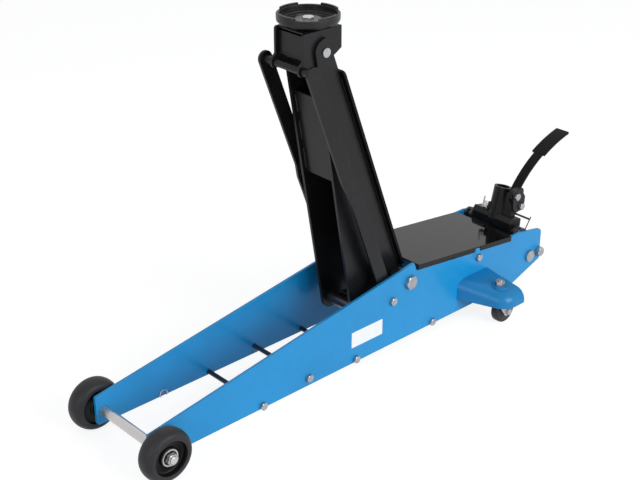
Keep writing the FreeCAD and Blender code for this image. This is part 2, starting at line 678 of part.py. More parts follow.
def cover_plate():
    cover = new_body("cover_plate")
    front, rear = "cover_front", "cover_rear"
    top_front, top_rear = f"{deck(front)} + cover_over", f"{deck(rear)} + cover_over"
    slab(cover, "XZ_Plane", "0", f"2 * {PLATE_OUT}", [[
        (front, deck(front)),
        (DECK_END, f"{deck(DECK_END)} + side_play"),
        (DECK_END, f"{deck(DECK_END)} + hump_rise - cover_sheet - 2"),
        (rear, f"{deck(rear)} + cover_over - cover_sheet"),
        (rear, top_rear),
        (front, top_front, "2.5"),
    ]])
    inside = f"2 * ({PLATE_OUT} - cover_sheet)"
    cut(cover, "XZ_Plane", "0", inside, [[
        (f"{front} - 5", f"{deck(front)} - 5"),
        (f"{rear} + 5", f"{deck(rear)} - 5"),
        (f"{rear} + 5", f"{deck(rear)} + cover_over - cover_sheet - 0.6"),
        (f"{front} - 5", f"{deck(front)} + cover_over - cover_sheet + 0.6"),
    ]])
    for word, sign in SIDES:
        cut(cover, "XZ_Plane", f"{sign} * ({PLATE_OUT} + 3)", "2 * (plate_thick + 3 + side_play)", [[
            (f"{DECK_END} + side_play", f"{deck(DECK_END)} - 5"),
            (f"{rear} + 5", f"{deck(DECK_END)} - 5"),
            (f"{rear} + 5", f"{deck(DECK_END)} + 25"),
            (f"{DECK_END} + side_play", f"{deck(DECK_END)} + 25"),
        ]])
        cut(cover, "XZ_Plane", f"{sign} * ({PLATE_OUT} - plate_thick / 2)", "plate_thick + 4", [[
            ("tab_along - tab_width / 2 - 0.5", f"{deck('tab_along')} - 5"),
            ("tab_along + tab_width / 2 + 0.5", f"{deck('tab_along')} - 5"),
            ("tab_along + tab_width / 2 + 0.5", f"{deck('tab_along')} + cover_over - cover_sheet"),
            ("tab_along - tab_width / 2 - 0.5", f"{deck('tab_along')} + cover_over - cover_sheet"),
        ]])
    keep("cover_plate", place(cover))


def bulkhead():
    piece = new_body("cover_support")
    top = f"{deck('bulkhead_along')} + cover_over - cover_sheet - 1.5"
    slab(piece, "XZ_Plane", "0", "plate_gap", [[
        ("bulkhead_along", f"{top} - bulkhead_tall"),
        ("bulkhead_along + bulkhead_thick", f"{top} - bulkhead_tall"),
        ("bulkhead_along + bulkhead_thick", top),
        ("bulkhead_along", top),
    ]])
    keep("cover_support", place(piece))
    heads = []
    for word, sign in SIDES:
        start = outward(sign, PLATE_OUT, "rod_head_thick")
        high = f"{deck('cover_bolt_along')} - cover_bolt_drop"
        heads.append(bolt_head(f"cover_bolt_{word}", "cover_bolt_head", "rod_head_thick", sign,
                               "cover_bolt_along", start, high))
    keep("cover_bolts", group("cover_bolts", heads))


# Outriggers and casters

def hood_block(label, sign, inset):
    """Outer form of an outrigger, or its hollow where an inset is given."""
    piece = new_body(label)
    root, end = PLATE_OUT, f"(hood_side - {inset})"
    front, rear = f"(hood_front + {inset})", "hood_rear" if inset == "0" else "(hood_rear + 20)"
    inner = root if inset == "0" else f"({root} - 20)"
    low = "hood_low" if inset == "0" else "(hood_low - 20)"
    high = f"(hood_top - {inset})"
    tall = f"({high} - {low})"
    slope = "(hood_sweep / (hood_side - plate_gap / 2 - plate_thick))"
    plan = [
        (f"{front} - ({root} - {inner}) * {slope}", f"{sign} * {inner}"),
        (rear, f"{sign} * {inner}"),
        (rear, f"{sign} * {end}"),
        (f"{front} + ({end} - {root}) * {slope}", f"{sign} * {end}", f"hood_corner - {inset}"),
    ]
    slab(piece, "XY_Plane", f"{low} + {tall} / 2 + 10", f"{tall} + 20", [plan])
    cut(piece, "YZ_Plane", "hood_rear", "hood_rear * 2", [[
        (f"{sign} * ({root} - 40)", f"{high} + 40 * hood_fall"),
        (f"{sign} * (hood_side + 40)", f"{high} - (hood_side + 40 - {root}) * hood_fall"),
        (f"{sign} * (hood_side + 40)", f"{high} + 60"),
        (f"{sign} * ({root} - 40)", f"{high} + 60"),
    ]])
    cut(piece, "XY_Plane", f"{low} - 25", "50", [[
        ("hood_front - 60", f"{sign} * ({root} - 40)"), ("hood_rear + 60", f"{sign} * ({root} - 40)"),
        ("hood_rear + 60", f"{sign} * (hood_side + 40)"), ("hood_front - 60", f"{sign} * (hood_side + 40)"),
    ]])
    top, back, core = value(high), value(rear), value(inner)
    fall = value("hood_fall")

    def on_top_rim(edge):
        middle = edge.valueAt((edge.FirstParameter + edge.LastParameter) / 2)
        at_top = abs(middle.z - (top - (abs(middle.y) - value(root)) * fall)) < 0.5
        return at_top and middle.x < back - 1 and abs(middle.y) > core + 1
    rounded(piece, f"hood_round - {inset}", on_top_rim)
    return piece


def outrigger(word, sign):
    outer = place(hood_block(f"hood_form_{word}", sign, "0"))
    hollow = place(hood_block(f"hood_hollow_{word}", sign, "hood_wall"))
    shell = less(f"hood_{word}", outer, hollow)
    side = f"{sign} * swivel_side"
    seat = bar(f"caster_seat_{word}", "boss_radius", "boss_high - boss_low", "swivel_along", side, "boss_low",
               (0, 0, 1), "0")
    body = joined(f"hood_{word}", shell, seat)
    hole = bar(f"stud_hole_{word}", "stud_radius + hole_play", "80", "swivel_along", side, "boss_low - 20",
               (0, 0, 1), "0")
    keep(f"outrigger_{word}", less(f"outrigger_{word}", body, hole))


CROWN_TOP = "(boss_low - race_thick - side_play)"
RACES, STUDS = [], []


def caster(word, sign):
    side, axle_along = f"{sign} * swivel_side", "swivel_along + caster_trail"
    race = bar(f"race_disc_{word}", "race_radius", "race_thick", "swivel_along", side,
               "boss_low - race_thick", (0, 0, 1), "0")
    hole = bar(f"race_hole_{word}", "stud_radius + hole_play", "race_thick", "swivel_along", side,
               "boss_low - race_thick", (0, 0, 1), "0")
    RACES.append(less(f"caster_race_{word}", race, hole))

    fork = new_body(f"caster_fork_{word}")
    slab(fork, "XZ_Plane", side, "2 * fork_half", [[
        ("swivel_along - fork_front", CROWN_TOP, "2"),
        ("swivel_along - fork_front", f"{CROWN_TOP} - 11", "4"),
        (f"{axle_along} - fork_foot", "caster_radius - fork_foot", "fork_foot - 1"),
        (f"{axle_along} + fork_foot", "caster_radius - fork_foot", "fork_foot - 1"),
        ("swivel_along + fork_rear + 6", f"{CROWN_TOP} - 9", "4"),
        ("swivel_along + fork_rear", CROWN_TOP, "2"),
    ]])
    cut(fork, "XZ_Plane", side, "2 * (fork_half - fork_sheet)", [[
        ("swivel_along - 60", "-5"), ("swivel_along + 80", "-5"),
        ("swivel_along + 80", f"{CROWN_TOP} - fork_sheet"),
        ("swivel_along - 60", f"{CROWN_TOP} - fork_sheet"),
    ]])
    cut(fork, "XZ_Plane", side, "4 * fork_half",
        [(axle_along, "caster_radius", "caster_axle_radius + hole_play")])
    cut(fork, "XY_Plane", CROWN_TOP, "20", [("swivel_along", side, "stud_radius + run_play")])
    keep(fork.Label, place(fork))

    tread = "caster_radius"
    wheel = turned(f"caster_wheel_{word}", "Y_Axis", [
        ("caster_axle_radius + run_play", "-caster_half"),
        ("caster_radius - 12", "-caster_half", "1"),
        ("caster_radius - 9", "-caster_half + 2.5", "1"),
        (tread, "-caster_half + 2.5", "5"),
        (tread, "caster_half - 2.5", "5"),
        ("caster_radius - 9", "caster_half - 2.5", "1"),
        ("caster_radius - 12", "caster_half", "1"),
        ("caster_axle_radius + run_play", "caster_half"),
    ])
    keep(wheel.Label, place(wheel, axle_along, side, "caster_radius"))

    pin = bar(f"caster_pin_{word}", "caster_axle_radius", "2 * fork_half", axle_along,
              f"{side} - fork_half", "caster_radius")
    ends = []
    for end, way in SIDES:
        start = f"{side} + fork_half" if way > 0 else f"{side} - fork_half - 5"
        ends.append(bolt_head(f"caster_nut_{word}_{end}", "7.5", "5", way, axle_along, start,
                              "caster_radius"))
    keep(f"caster_axle_{word}", joined(f"caster_axle_{word}", pin, *ends))

    low = f"({CROWN_TOP} - fork_sheet - 4.5)"
    shank = bar(f"stud_{word}", "stud_radius", f"boss_high + stud_nut_tall + 3 - {low}", "swivel_along",
                side, low, (0, 0, 1), "0")
    nut = bolt_head(f"stud_nut_{word}", "stud_nut_radius", "stud_nut_tall", 1, "swivel_along", side,
                    "boss_high", (0, 0, 1), "0")
    foot = bar(f"stud_foot_{word}", "stud_radius + 4", "4.2", "swivel_along", side, low, (0, 0, 1), "0")
    STUDS.append(joined(f"caster_stud_{word}", shank, nut, foot))


# Lift arm, drawn along its own length from the pivot and placed by the lift angle

def on_arm(piece):
    return place(piece, "arm_pivot_along", "0", "arm_pivot_high", (0, 1, 0), "180 + lift_angle")


def arm_side_plate(word, sign):
    plate = new_body(f"arm_side_plate_{word}")
    middle = f"{sign} * (arm_half - arm_plate / 2)"
    top = "(arm_length + arm_head_radius)"
    toe = "(-foot_down - foot_radius)"
    slab(plate, "XZ_Plane", middle, "arm_plate", [[
        ("-arm_boss_radius", "-arm_boss_radius", "arm_boss_radius - 2"),
        ("web_low - 2", "-arm_boss_radius", "5"),
        ("web_low - 2", "-arm_back"),
        (top, "-arm_back", "10"),
        (top, arm_front(top), "arm_head_radius - 4"),
        (toe, arm_front(toe), "foot_radius"),
        (toe, "foot_out - foot_radius - 20", "40"),
    ]])
    cut(plate, "XZ_Plane", middle, "arm_plate * 2", [
        ("0", "0", "pivot_radius + run_play"),
        ("arm_length", "0", "saddle_pin_radius + hole_play"),
        ("-foot_down", "foot_out", "crosshead_radius + hole_play"),
    ])
    keep(plate.Label, on_arm(plate))


def arm_webs():
    web = new_body("arm_top_plate")
    slab(web, "XY_Plane", "-arm_back - web_thick / 2", "web_thick", [[
        ("web_low", "-web_half", "4"),
        ("web_high", "-web_half", "web_corner"),
        ("web_high", "web_half", "web_corner"),
        ("web_low", "web_half", "4"),
    ]])
    keep("arm_top_plate", on_arm(web))
    brace = new_body("arm_brace_plate")
    outer_low = f"{arm_front('brace_low')} - brace_inset"
    outer_high = f"{arm_front('brace_high')} - brace_inset"
    slab(brace, "XZ_Plane", "0", "2 * (arm_half - arm_plate)", [[
        ("brace_low", f"{outer_low} - brace_thick"),
        ("brace_high", f"{outer_high} - brace_thick"),
        ("brace_high", outer_high),
        ("brace_low", outer_low),
    ]])
    keep("arm_brace_plate", on_arm(brace))


def arm_pins():
    shaft = bar("pivot_shaft", "pivot_radius", f"2 * {PLATE_OUT}", "arm_pivot_along", f"-{PLATE_OUT}",
                "arm_pivot_high")
    ends = []
    for word, sign in SIDES:
        start = outward(sign, PLATE_OUT, "pivot_head_thick")
        ends.append(bolt_head(f"pivot_head_{word}", "pivot_head_radius", "pivot_head_thick", sign,
                              "arm_pivot_along", start, "arm_pivot_high"))
    keep("arm_pivot_bolt", joined("arm_pivot_bolt", shaft, *ends))
    spacers = []
    length = f"{PLATE_IN} - arm_half - side_play"
    for word, sign in SIDES:
        start = outward(sign, "arm_half + side_play", length)
        sleeve = bar(f"spacer_{word}", "spacer_radius", length, "arm_pivot_along", start, "arm_pivot_high")
        hole = bar(f"spacer_hole_{word}", "pivot_radius + hole_play", length, "arm_pivot_along", start,
                   "arm_pivot_high")
        spacers.append(less(f"spacer_{word}", sleeve, hole))
    keep("pivot_spacers", group("pivot_spacers", spacers))
    head = "saddle_pin_head_thick"
    pin = bar("saddle_pin_shank", "saddle_pin_radius", "2 * arm_half", SADDLE_ALONG, "-arm_half", SADDLE_HIGH)
    caps = [bar(f"saddle_pin_head_{word}", "saddle_pin_head", head, SADDLE_ALONG,
                outward(sign, "arm_half", head), SADDLE_HIGH) for word, sign in SIDES]
    keep("saddle_pin", joined("saddle_pin", pin, *caps))
    keep("crosshead_pin", bar("crosshead_pin", "crosshead_radius", "2 * arm_half", FOOT_ALONG, "-arm_half",
                              FOOT_HIGH))


# Radius links, which keep the saddle level

def link_bar(word, sign):
    link = new_body(f"radius_link_{word}")
    half = "link_width / 2"
    high, low = "link_side", "link_foot_side"
    slab(link, "XY_Plane", "0", "link_width", [[
        (f"-{half}", f"{sign} * ({low} - link_thick)"),
        (f"-{half}", f"{sign} * {low}"),
        ("bend_low", f"{sign} * {low}", "30"),
        ("bend_high", f"{sign} * {high}", "30"),
        (f"arm_length + {half}", f"{sign} * {high}"),
        (f"arm_length + {half}", f"{sign} * ({high} - link_thick)"),
        ("bend_high", f"{sign} * ({high} - link_thick)", "30"),
        ("bend_low", f"{sign} * ({low} - link_thick)", "30"),
    ]])
    length = value("arm_length")

    def at_ends(edge):
        box = edge.BoundBox
        across = box.YLength > 1 and box.XLength < 0.01 and box.ZLength < 0.01
        return across and (box.XMin < 0 or box.XMax > length)
    rounded(link, "link_width / 2 - 0.2", at_ends)
    cut(link, "XZ_Plane", "0", "2 * link_foot_side + 10", [
        ("0", "0", "link_pin_radius + run_play"),
        ("arm_length", "0", "link_shaft_radius + hole_play"),
    ])
    keep(link.Label, place(link, "arm_pivot_along + link_back", "0", "arm_pivot_high + link_drop",
                           (0, 1, 0), "180 + lift_angle"))


def link_fittings():
    along, high = "arm_pivot_along + link_back", "arm_pivot_high + link_drop"
    feet = []
    for word, sign in SIDES:
        inner = "(link_foot_side - link_thick - 4)"
        shank = bar(f"foot_shank_{word}", "link_pin_radius", f"{PLATE_OUT} - {inner}", along,
                    outward(sign, inner, f"{PLATE_OUT} - {inner}"), high)
        head = bolt_head(f"foot_head_{word}", "link_pin_head", "rod_head_thick", sign, along,
                         outward(sign, PLATE_OUT, "rod_head_thick"), high)
        cap = bar(f"foot_cap_{word}", "link_pin_radius + 3", "4 - side_play", along,
                  outward(sign, inner, "4 - side_play"), high)
        space = f"{PLATE_IN} - link_foot_side - side_play"
        collar = bar(f"foot_collar_{word}", "link_pin_radius + 5", space, along,
                     outward(sign, "link_foot_side + side_play", space), high)
        feet.append(joined(f"foot_bolt_{word}", shank, head, cap, collar))
    keep("link_foot_bolts", group("link_foot_bolts", feet))
    shaft = bar("link_shaft", "link_shaft_radius", "2 * link_side", LINK_TOP_ALONG, "-link_side", LINK_TOP_HIGH)
    keep("link_top_shaft", shaft)


# Saddle

def saddle_bracket():
    bracket = new_body("saddle_bracket")
    front = f"({SADDLE_ALONG} - bracket_before_pin)"
    rear = f"({front} + bracket_length)"
    pin = SADDLE_HIGH
    lug = "(link_shaft_radius + 5.5)"
    slab(bracket, "XZ_Plane", "0", "2 * bracket_half", [[
        (front, BRACKET_TOP),
        (front, f"{LINK_TOP_HIGH} + {lug} + 6", "3"),
        (f"{LINK_TOP_ALONG} - {lug}", f"{LINK_TOP_HIGH} + {lug}", "8"),
        (f"{LINK_TOP_ALONG} - {lug}", f"{LINK_TOP_HIGH} - {lug}", f"{lug} - 2"),
        (f"{LINK_TOP_ALONG} + {lug}", f"{LINK_TOP_HIGH} - {lug}", f"{lug} - 2"),
        (f"{SADDLE_ALONG} - 10", f"{pin} - 22", "12"),
        (f"{SADDLE_ALONG} + 16", f"{pin} - 20", "12"),
        (rear, f"{pin} - bracket_rear_drop", "2"),
        (rear, BRACKET_TOP),
    ]])
    inner = "2 * (bracket_half - bracket_wall)"
    cut(bracket, "XZ_Plane", "0", inner, [[
        (f"{front} + bracket_wall", f"{pin} - 80"),
        (f"{rear} - bracket_wall", f"{pin} - 80"),
        (f"{rear} - bracket_wall", f"{BRACKET_TOP} - bracket_top_thick", "6"),
        (f"{front} + bracket_wall", f"{BRACKET_TOP} - bracket_top_thick", "6"),
    ]])
    cut(bracket, "XZ_Plane", "0", inner, [[
        (f"{front} - 60", f"{pin} - 80"),
        (f"{front} + 20", f"{pin} - 80"),
        (f"{front} + 20", f"{pin} - bracket_front_drop"),
        (f"{front} - 60", f"{pin} - bracket_front_drop"),
    ]])
    slab(bracket, "XZ_Plane", "0", inner, [
        (f"{front} + bead_radius - 2", f"{pin} - bracket_front_drop", "bead_radius"),
    ])
    cut(bracket, "XZ_Plane", "0", "4 * bracket_half", [
        (SADDLE_ALONG, pin, "saddle_pin_radius + run_play"),
        (LINK_TOP_ALONG, LINK_TOP_HIGH, "link_shaft_radius + run_play"),
    ])
    middle = f"({front} + bracket_length / 2)"
    slab(bracket, "XY_Plane", f"{BRACKET_TOP} + (cup_lift - cup_sink - side_play) / 2",
         "cup_lift - cup_sink - side_play", [(middle, "0", "cup_neck - 12")])
    cut(bracket, "XY_Plane", BRACKET_TOP, "60", [(middle, "0", "centre_bolt_radius + hole_play")])
    keep("saddle_bracket", place(bracket))


CUP_ALONG = f"({SADDLE_ALONG} - bracket_before_pin + bracket_length / 2)"
CUP_LOW = f"({BRACKET_TOP} + cup_lift)"


def saddle():
    hole = "centre_bolt_radius + run_play"
    rim = "cup_tall"
    cup = turned("saddle_cup", "Z_Axis", [
        (hole, "-cup_sink"),
        ("cup_neck - 4", "-cup_sink", "1"),
        ("cup_neck - 2", "0", "1"),
        ("cup_radius - 1", "2.5", "3"),
        ("cup_radius", "7", "3"),
        ("cup_radius", rim, "1"),
        ("cup_radius - cup_rim", rim, "1"),
        ("cup_radius - cup_rim - 0.5", "cup_floor + 6"),
        ("cup_radius - cup_rim - 7", "cup_floor + 5", "1"),
        ("cup_radius - cup_rim - 8", "cup_floor + 3"),
        ("washer_radius + 12", "cup_floor + 2.5", "0.5"),
        ("washer_radius + 11", "cup_floor"),
        (hole, "cup_floor"),
    ], "XZ_Plane")
    teeth = cup.newObject("Sketcher::SketchObject", "tooth_sketch")
    teeth.AttachmentSupport = [(origin_part(cup, "XY_Plane"), "")]
    teeth.MapMode = "FlatFace"
    bind(teeth, "AttachmentOffset.Base.z", f"{rim} - 1")
    half = "tooth_angle / 2"
    inner, outer = "(cup_radius - cup_rim + 0.6)", "(cup_radius - 0.6)"
    outline(teeth, [
        (f"{inner} * cos({half})", f"-{inner} * sin({half})"),
        (f"{outer} * cos({half})", f"-{outer} * sin({half})"),
        (f"{outer} / cos({half})", "0", f"{outer} * 0.98"),
        (f"{outer} * cos({half})", f"{outer} * sin({half})"),
        (f"{inner} * cos({half})", f"{inner} * sin({half})"),
        (f"{inner} / cos({half})", "0", f"{inner} * 0.98"),
    ])
    tooth = cup.newObject("PartDesign::Pad", "tooth_pad")
    tooth.Profile = teeth
    bind(tooth, "Length", "tooth_tall + 1")
    doc.recompute()
    ring = cup.newObject("PartDesign::PolarPattern", "teeth")
    ring.Originals = [tooth]
    ring.Axis = (origin_part(cup, "Z_Axis"), [""])
    ring.Occurrences = 4
    cup.Tip = ring
    keep("saddle_cup", place(cup, CUP_ALONG, "0", CUP_LOW))

    floor = f"({CUP_LOW} + cup_floor + side_play)"
    disc = bar("saddle_disc", "washer_radius", "washer_thick", CUP_ALONG, "0", floor, (0, 0, 1), "0")
    bore = bar("disc_hole", "centre_bolt_radius + hole_play", "washer_thick", CUP_ALONG, "0", floor,
               (0, 0, 1), "0")
    keep("saddle_washer", less("saddle_washer", disc, bore))
    low = f"({BRACKET_TOP} - bracket_top_thick - 12)"
    shank = bar("centre_shank", "centre_bolt_radius", f"{floor} + washer_thick - {low}", CUP_ALONG, "0", low,
                (0, 0, 1), "0")
    head = bolt_head("centre_head", "centre_head_radius", "centre_head_tall", 1, CUP_ALONG, "0",
                     f"{floor} + washer_thick", (0, 0, 1), "0")
    nut = hexagon("centre_nut", "centre_head_radius + 4", "12", CUP_ALONG, "0", low, (0, 0, 1), "0")
    keep("saddle_bolt", joined("saddle_bolt", shank, head, nut))


# Hydraulic unit, drawn from its carrying pin towards the crosshead

def on_unit(piece):
    return place(piece, "unit_along", "0", "unit_high", (0, 1, 0), f"180 + {RAM_TILT}")


def pump_block():
    block = new_body("pump_block")
    slab(block, "XZ_Plane", "0", "2 * block_half", [[
        ("-block_back", "-block_up", "6"), ("block_before", "-block_up", "6"),
        ("block_before", "block_down", "8"), ("-block_back", "block_down", "8"),
    ]])
    for word, sign in SIDES:
        cut(block, "XZ_Plane", f"{sign} * (block_half - unit_socket / 2 + 0.5)", "unit_socket + 1", [
            ("0", "0", "unit_pin_radius + run_play")])
    cut(block, "XY_Plane", "-block_up", "2 * (block_up + unit_pin_radius)", [
        ("plunger_before", "0", "plunger_radius + run_play")])
    keep("pump_block", on_unit(block))
    plunger = turned("pump_plunger", "Z_Axis", [
        ("0", "-plunger_up"), ("plunger_radius", "-plunger_up", "2"),
        ("plunger_radius", "-plunger_foot"), ("0", "-plunger_foot"),
    ], "XZ_Plane")
    tilt = f"(180 + {RAM_TILT})"
    keep("pump_plunger", place(plunger, f"unit_along + plunger_before * cos({tilt})", "0",
                               f"unit_high - plunger_before * sin({tilt})", (0, 1, 0), tilt))


def cylinder():
    tube = turned("cylinder_tube", "X_Axis", [
        ("block_before", "0"), ("block_before", "tube_radius", "2"), ("tube_end", "tube_radius"),
        ("tube_end", "tube_bore"), ("block_before + 8", "tube_bore"), ("block_before + 8", "0"),
    ])
    keep("cylinder_tube", on_unit(tube))
    gland = turned("cylinder_gland", "X_Axis", [
        ("tube_end", "ram_radius + run_play"), ("tube_end", "gland_radius", "2"),
        ("tube_end + gland_thick", "gland_radius", "4"), ("tube_end + gland_thick", "ram_radius + run_play"),
    ])
    keep("cylinder_gland", on_unit(gland))


def ram():
    behind = "(tube_end - piston_from_end)"
    head_start = f"({RAM_REACH} - ram_head_start)"
    rod = turned("ram_rod", "X_Axis", [
        (behind, "0"), (behind, "tube_bore - run_play", "1"), (f"{behind} + piston_thick", "tube_bore - run_play", "1"),
        (f"{behind} + piston_thick", "ram_radius"), (head_start, "ram_radius"), (head_start, "0"),
    ])
    keep("ram_rod", on_unit(rod))
    head = new_body("ram_head")
    face = f"({RAM_REACH} - crosshead_radius - side_play)"
    slab(head, "XZ_Plane", "0", "2 * ram_head_half", [[
        (head_start, "-ram_head_boss", "5"), (f"{face} - ram_head_thick", "-ram_head_over"),
        (face, "-ram_head_over", "3"), (face, "ram_head_under", "3"),
        (f"{face} - ram_head_thick * 0.7", "ram_head_under", "3"), (head_start, "ram_head_boss", "5"),
    ]])
    keep("ram_head", on_unit(head))


def unit_pins():
    pins = []
    start = "(block_half - unit_socket + 1)"
    for word, sign in SIDES:
        shank = bar(f"unit_shank_{word}", "unit_pin_radius", f"{PLATE_OUT} - {start}", "unit_along",
                    outward(sign, start, f"{PLATE_OUT} - {start}"), "unit_high")
        head = bar(f"unit_head_{word}", "unit_head_radius", "unit_head_thick", "unit_along",
                   outward(sign, PLATE_OUT, "unit_head_thick"), "unit_high")
        space = f"{PLATE_IN} - block_half - side_play"
        collar = bar(f"unit_collar_{word}", "unit_pin_radius + 6", space, "unit_along",
                     outward(sign, "block_half + side_play", space), "unit_high")
        pins.append(joined(f"unit_pin_{word}", shank, head, collar))
    keep("unit_pins", group("unit_pins", pins))


# Yoke, handle socket and pedal

SOCKET_X = "sin(socket_lean)"
SOCKET_Z = "cos(socket_lean)"


def on_socket(piece, out, side="0"):
    """Places a piece on the leaning socket, at a distance from the yoke's pivot."""
    return place(piece, f"yoke_along + ({out}) * {SOCKET_X}", side, f"yoke_high + ({out}) * {SOCKET_Z}",
                 (0, 1, 0), "socket_lean")


def yoke():
    tube = bar("yoke_tube", "yoke_radius", "2 * yoke_half", "yoke_along", "-yoke_half", "yoke_high")
    block = new_body("yoke_block_form")
    left = "(pedal_left - side_play)"
    slab(block, "XZ_Plane", f"(yoke_block_right - {left}) / 2", f"yoke_block_right + {left}", [[
        ("-yoke_block", "-yoke_block", "yoke_block_round"), ("yoke_block", "-yoke_block", "yoke_block_round"),
        ("yoke_block", "yoke_block", "yoke_block_round"), ("-yoke_block", "yoke_block", "yoke_block_round"),
    ]])
    on_socket(block, "0")
    ears = []
    for word, sign in SIDES:
        ear = new_body(f"cam_ear_{word}")
        slab(ear, "XZ_Plane", f"{sign} * (cam_half + side_play + 3)", "6", [[
            ("yoke_along - 8", "yoke_high - 16", "2"),
            ("yoke_along + cam_back", "yoke_high - cam_drop - 7", "6"),
            ("yoke_along + cam_back + 7", "yoke_high - cam_drop + 4", "6"),
            ("yoke_along + 14", "yoke_high + 12", "2"),
        ]])
        ears.append(place(ear))
    hole = bar("yoke_hole", "trunnion_radius + run_play", "4 * yoke_half", "yoke_along", "-2 * yoke_half",
               "yoke_high")
    room = bar("cam_room", "cam_radius + 1", "2 * (cam_half + side_play)", "yoke_along + cam_back",
               "-cam_half - side_play", "yoke_high - cam_drop")
    seat = on_socket(bar("socket_seat", "socket_radius", "socket_reach"), "trunnion_radius + 4")
    pin_room = bar("cam_pin_room", "cam_core + hole_play", "60", "yoke_along + cam_back", "-30",
                   "yoke_high - cam_drop")
    plunger_room = new_body("plunger_room")
    front = "yoke_along + cam_back - plunger_radius - plunger_play_front"
    rear = "yoke_along + cam_back + plunger_radius + 2"
    slab(plunger_room, "XZ_Plane", "0", "2 * plunger_radius + 3.2", [[
        (front, "yoke_high - cam_drop - 24"), (rear, "yoke_high - cam_drop - 24"),
        (rear, "yoke_high - cam_drop"), (front, "yoke_high - cam_drop"),
    ]])
    casting = joined("yoke_casting", tube, block, *ears)
    keep("handle_yoke", less("handle_yoke", casting, hole, room, seat, pin_room, place(plunger_room)))


def handle_socket():
    socket = new_body("handle_socket")
    start = "trunnion_radius + 4"
    slab(socket, "XY_Plane", f"({start} + socket_reach) / 2", f"socket_reach - ({start})", [
        ("0", "0", "socket_radius")])
    cut(socket, "XY_Plane", "socket_floor + socket_reach / 2", "socket_reach", [("0", "0", "socket_bore")])
    cut(socket, "XY_Plane", "coupling_floor + socket_reach / 2", "socket_reach", [
        ("0", "0", "coupling_radius + run_play")])
    on_socket(socket, "0")
    boss = aim(new_clamp("clamp_boss", "Part::Prism", "clamp_boss_radius", "clamp_boss_reach"), "0")
    hole = aim(new_clamp("clamp_hole", "Part::Cylinder", "clamp_radius + run_play", "clamp_boss_reach + 10"), "0")
    bore = new_clamp("boss_bore", "Part::Cylinder", "socket_bore", "socket_reach")
    on_socket(bore, "socket_floor")
    recess = new_clamp("boss_recess", "Part::Cylinder", "coupling_radius + run_play", "socket_reach")
    on_socket(recess, "coupling_floor")
    keep("handle_socket", less("handle_socket", joined("socket_and_boss", socket, boss), bore, recess, hole))


def new_clamp(label, kind, radius, length):
    made = doc.addObject(kind, label)
    if kind == "Part::Prism":
        made.Polygon = 6
        bind(made, "Circumradius", radius)
    else:
        bind(made, "Radius", radius)
    bind(made, "Height", length)
    return made


def aim(piece, out):
    """Points a piece out of the side of the socket, square to it, starting at a reach from its axis."""
    lean = FreeCAD.Rotation(Vector(0, 1, 0), value("socket_lean"))
    spin = FreeCAD.Rotation(Vector(0, 0, 1), value("clamp_turn"))
    tip = FreeCAD.Rotation(Vector(0, 1, 0), 90)
    piece.Placement = FreeCAD.Placement(Vector(), lean * spin * tip)
    far = f"({out})"
    bind(piece, "Placement.Base.x", f"axle_place + yoke_along + clamp_high * {SOCKET_X}"
                                    f" + {far} * cos(clamp_turn) * {SOCKET_Z}")
    bind(piece, "Placement.Base.y", f"{far} * sin(clamp_turn)")
    bind(piece, "Placement.Base.z", f"yoke_high + clamp_high * {SOCKET_Z}"
                                    f" - {far} * cos(clamp_turn) * {SOCKET_X}")
    return piece


def yoke_fittings():
    shaft = bar("yoke_pin_shaft", "trunnion_radius", "plate_gap", "yoke_along", f"-{PLATE_IN}", "yoke_high")
    keep("yoke_pin", shaft)
    bushes = []
    for word, sign in SIDES:
        start = outward(sign, f"{PLATE_IN} - yoke_bush_thick", "yoke_bush_thick")
        ring = bar(f"yoke_bush_{word}", "yoke_bush_radius", "yoke_bush_thick", "yoke_along", start, "yoke_high")
        hole = bar(f"yoke_bush_hole_{word}", "trunnion_radius + hole_play", "yoke_bush_thick", "yoke_along", start,
                   "yoke_high")
        bushes.append(less(f"yoke_bush_{word}", ring, hole))
    keep("yoke_bushes", group("yoke_bushes", bushes))
    cam = bar("cam_drum", "cam_radius", "2 * cam_half", "yoke_along + cam_back", "-cam_half",
              "yoke_high - cam_drop")
    core = bar("cam_core", "cam_core", "2 * (cam_half + 6)", "yoke_along + cam_back", "-cam_half - 6",
               "yoke_high - cam_drop")
    keep("pump_cam_pin", joined("pump_cam_pin", cam, core))

    coupling = new_body("release_coupling")
    slab(coupling, "XY_Plane", "coupling_floor + side_play + coupling_tall / 2", "coupling_tall", [
        ("0", "0", "coupling_radius")])
    cut(coupling, "XY_Plane", "coupling_floor + side_play + coupling_tall", "coupling_tall", [[
        ("-4", "-20"), ("4", "-20"), ("4", "20"), ("-4", "20")]])
    keep("release_coupling", on_socket(coupling, "0"))

    screw = aim(new_clamp("clamp_shank", "Part::Cylinder", "clamp_radius", "clamp_boss_reach - socket_bore + 10"),
                "socket_bore + clamp_tip_gap")
    head = aim(new_clamp("clamp_head", "Part::Prism", "clamp_radius + 4.5", "7"), "clamp_boss_reach + 2")
    tee = doc.addObject("Part::Cylinder", "clamp_tee")
    bind(tee, "Radius", "2")
    bind(tee, "Height", "26")
    tee.Placement = FreeCAD.Placement(Vector(), FreeCAD.Rotation(Vector(0, 1, 0), value("socket_lean")))
    far = "(clamp_boss_reach + 11)"
    bind(tee, "Placement.Base.x", f"axle_place + yoke_along + (clamp_high - 6) * {SOCKET_X}"
                                  f" + {far} * cos(clamp_turn) * {SOCKET_Z}")
    bind(tee, "Placement.Base.y", f"{far} * sin(clamp_turn)")
    bind(tee, "Placement.Base.z", f"yoke_high + (clamp_high - 6) * {SOCKET_Z}"
                                  f" - {far} * cos(clamp_turn) * {SOCKET_X}")
    keep("clamp_screw", joined("clamp_screw", screw, head, tee))


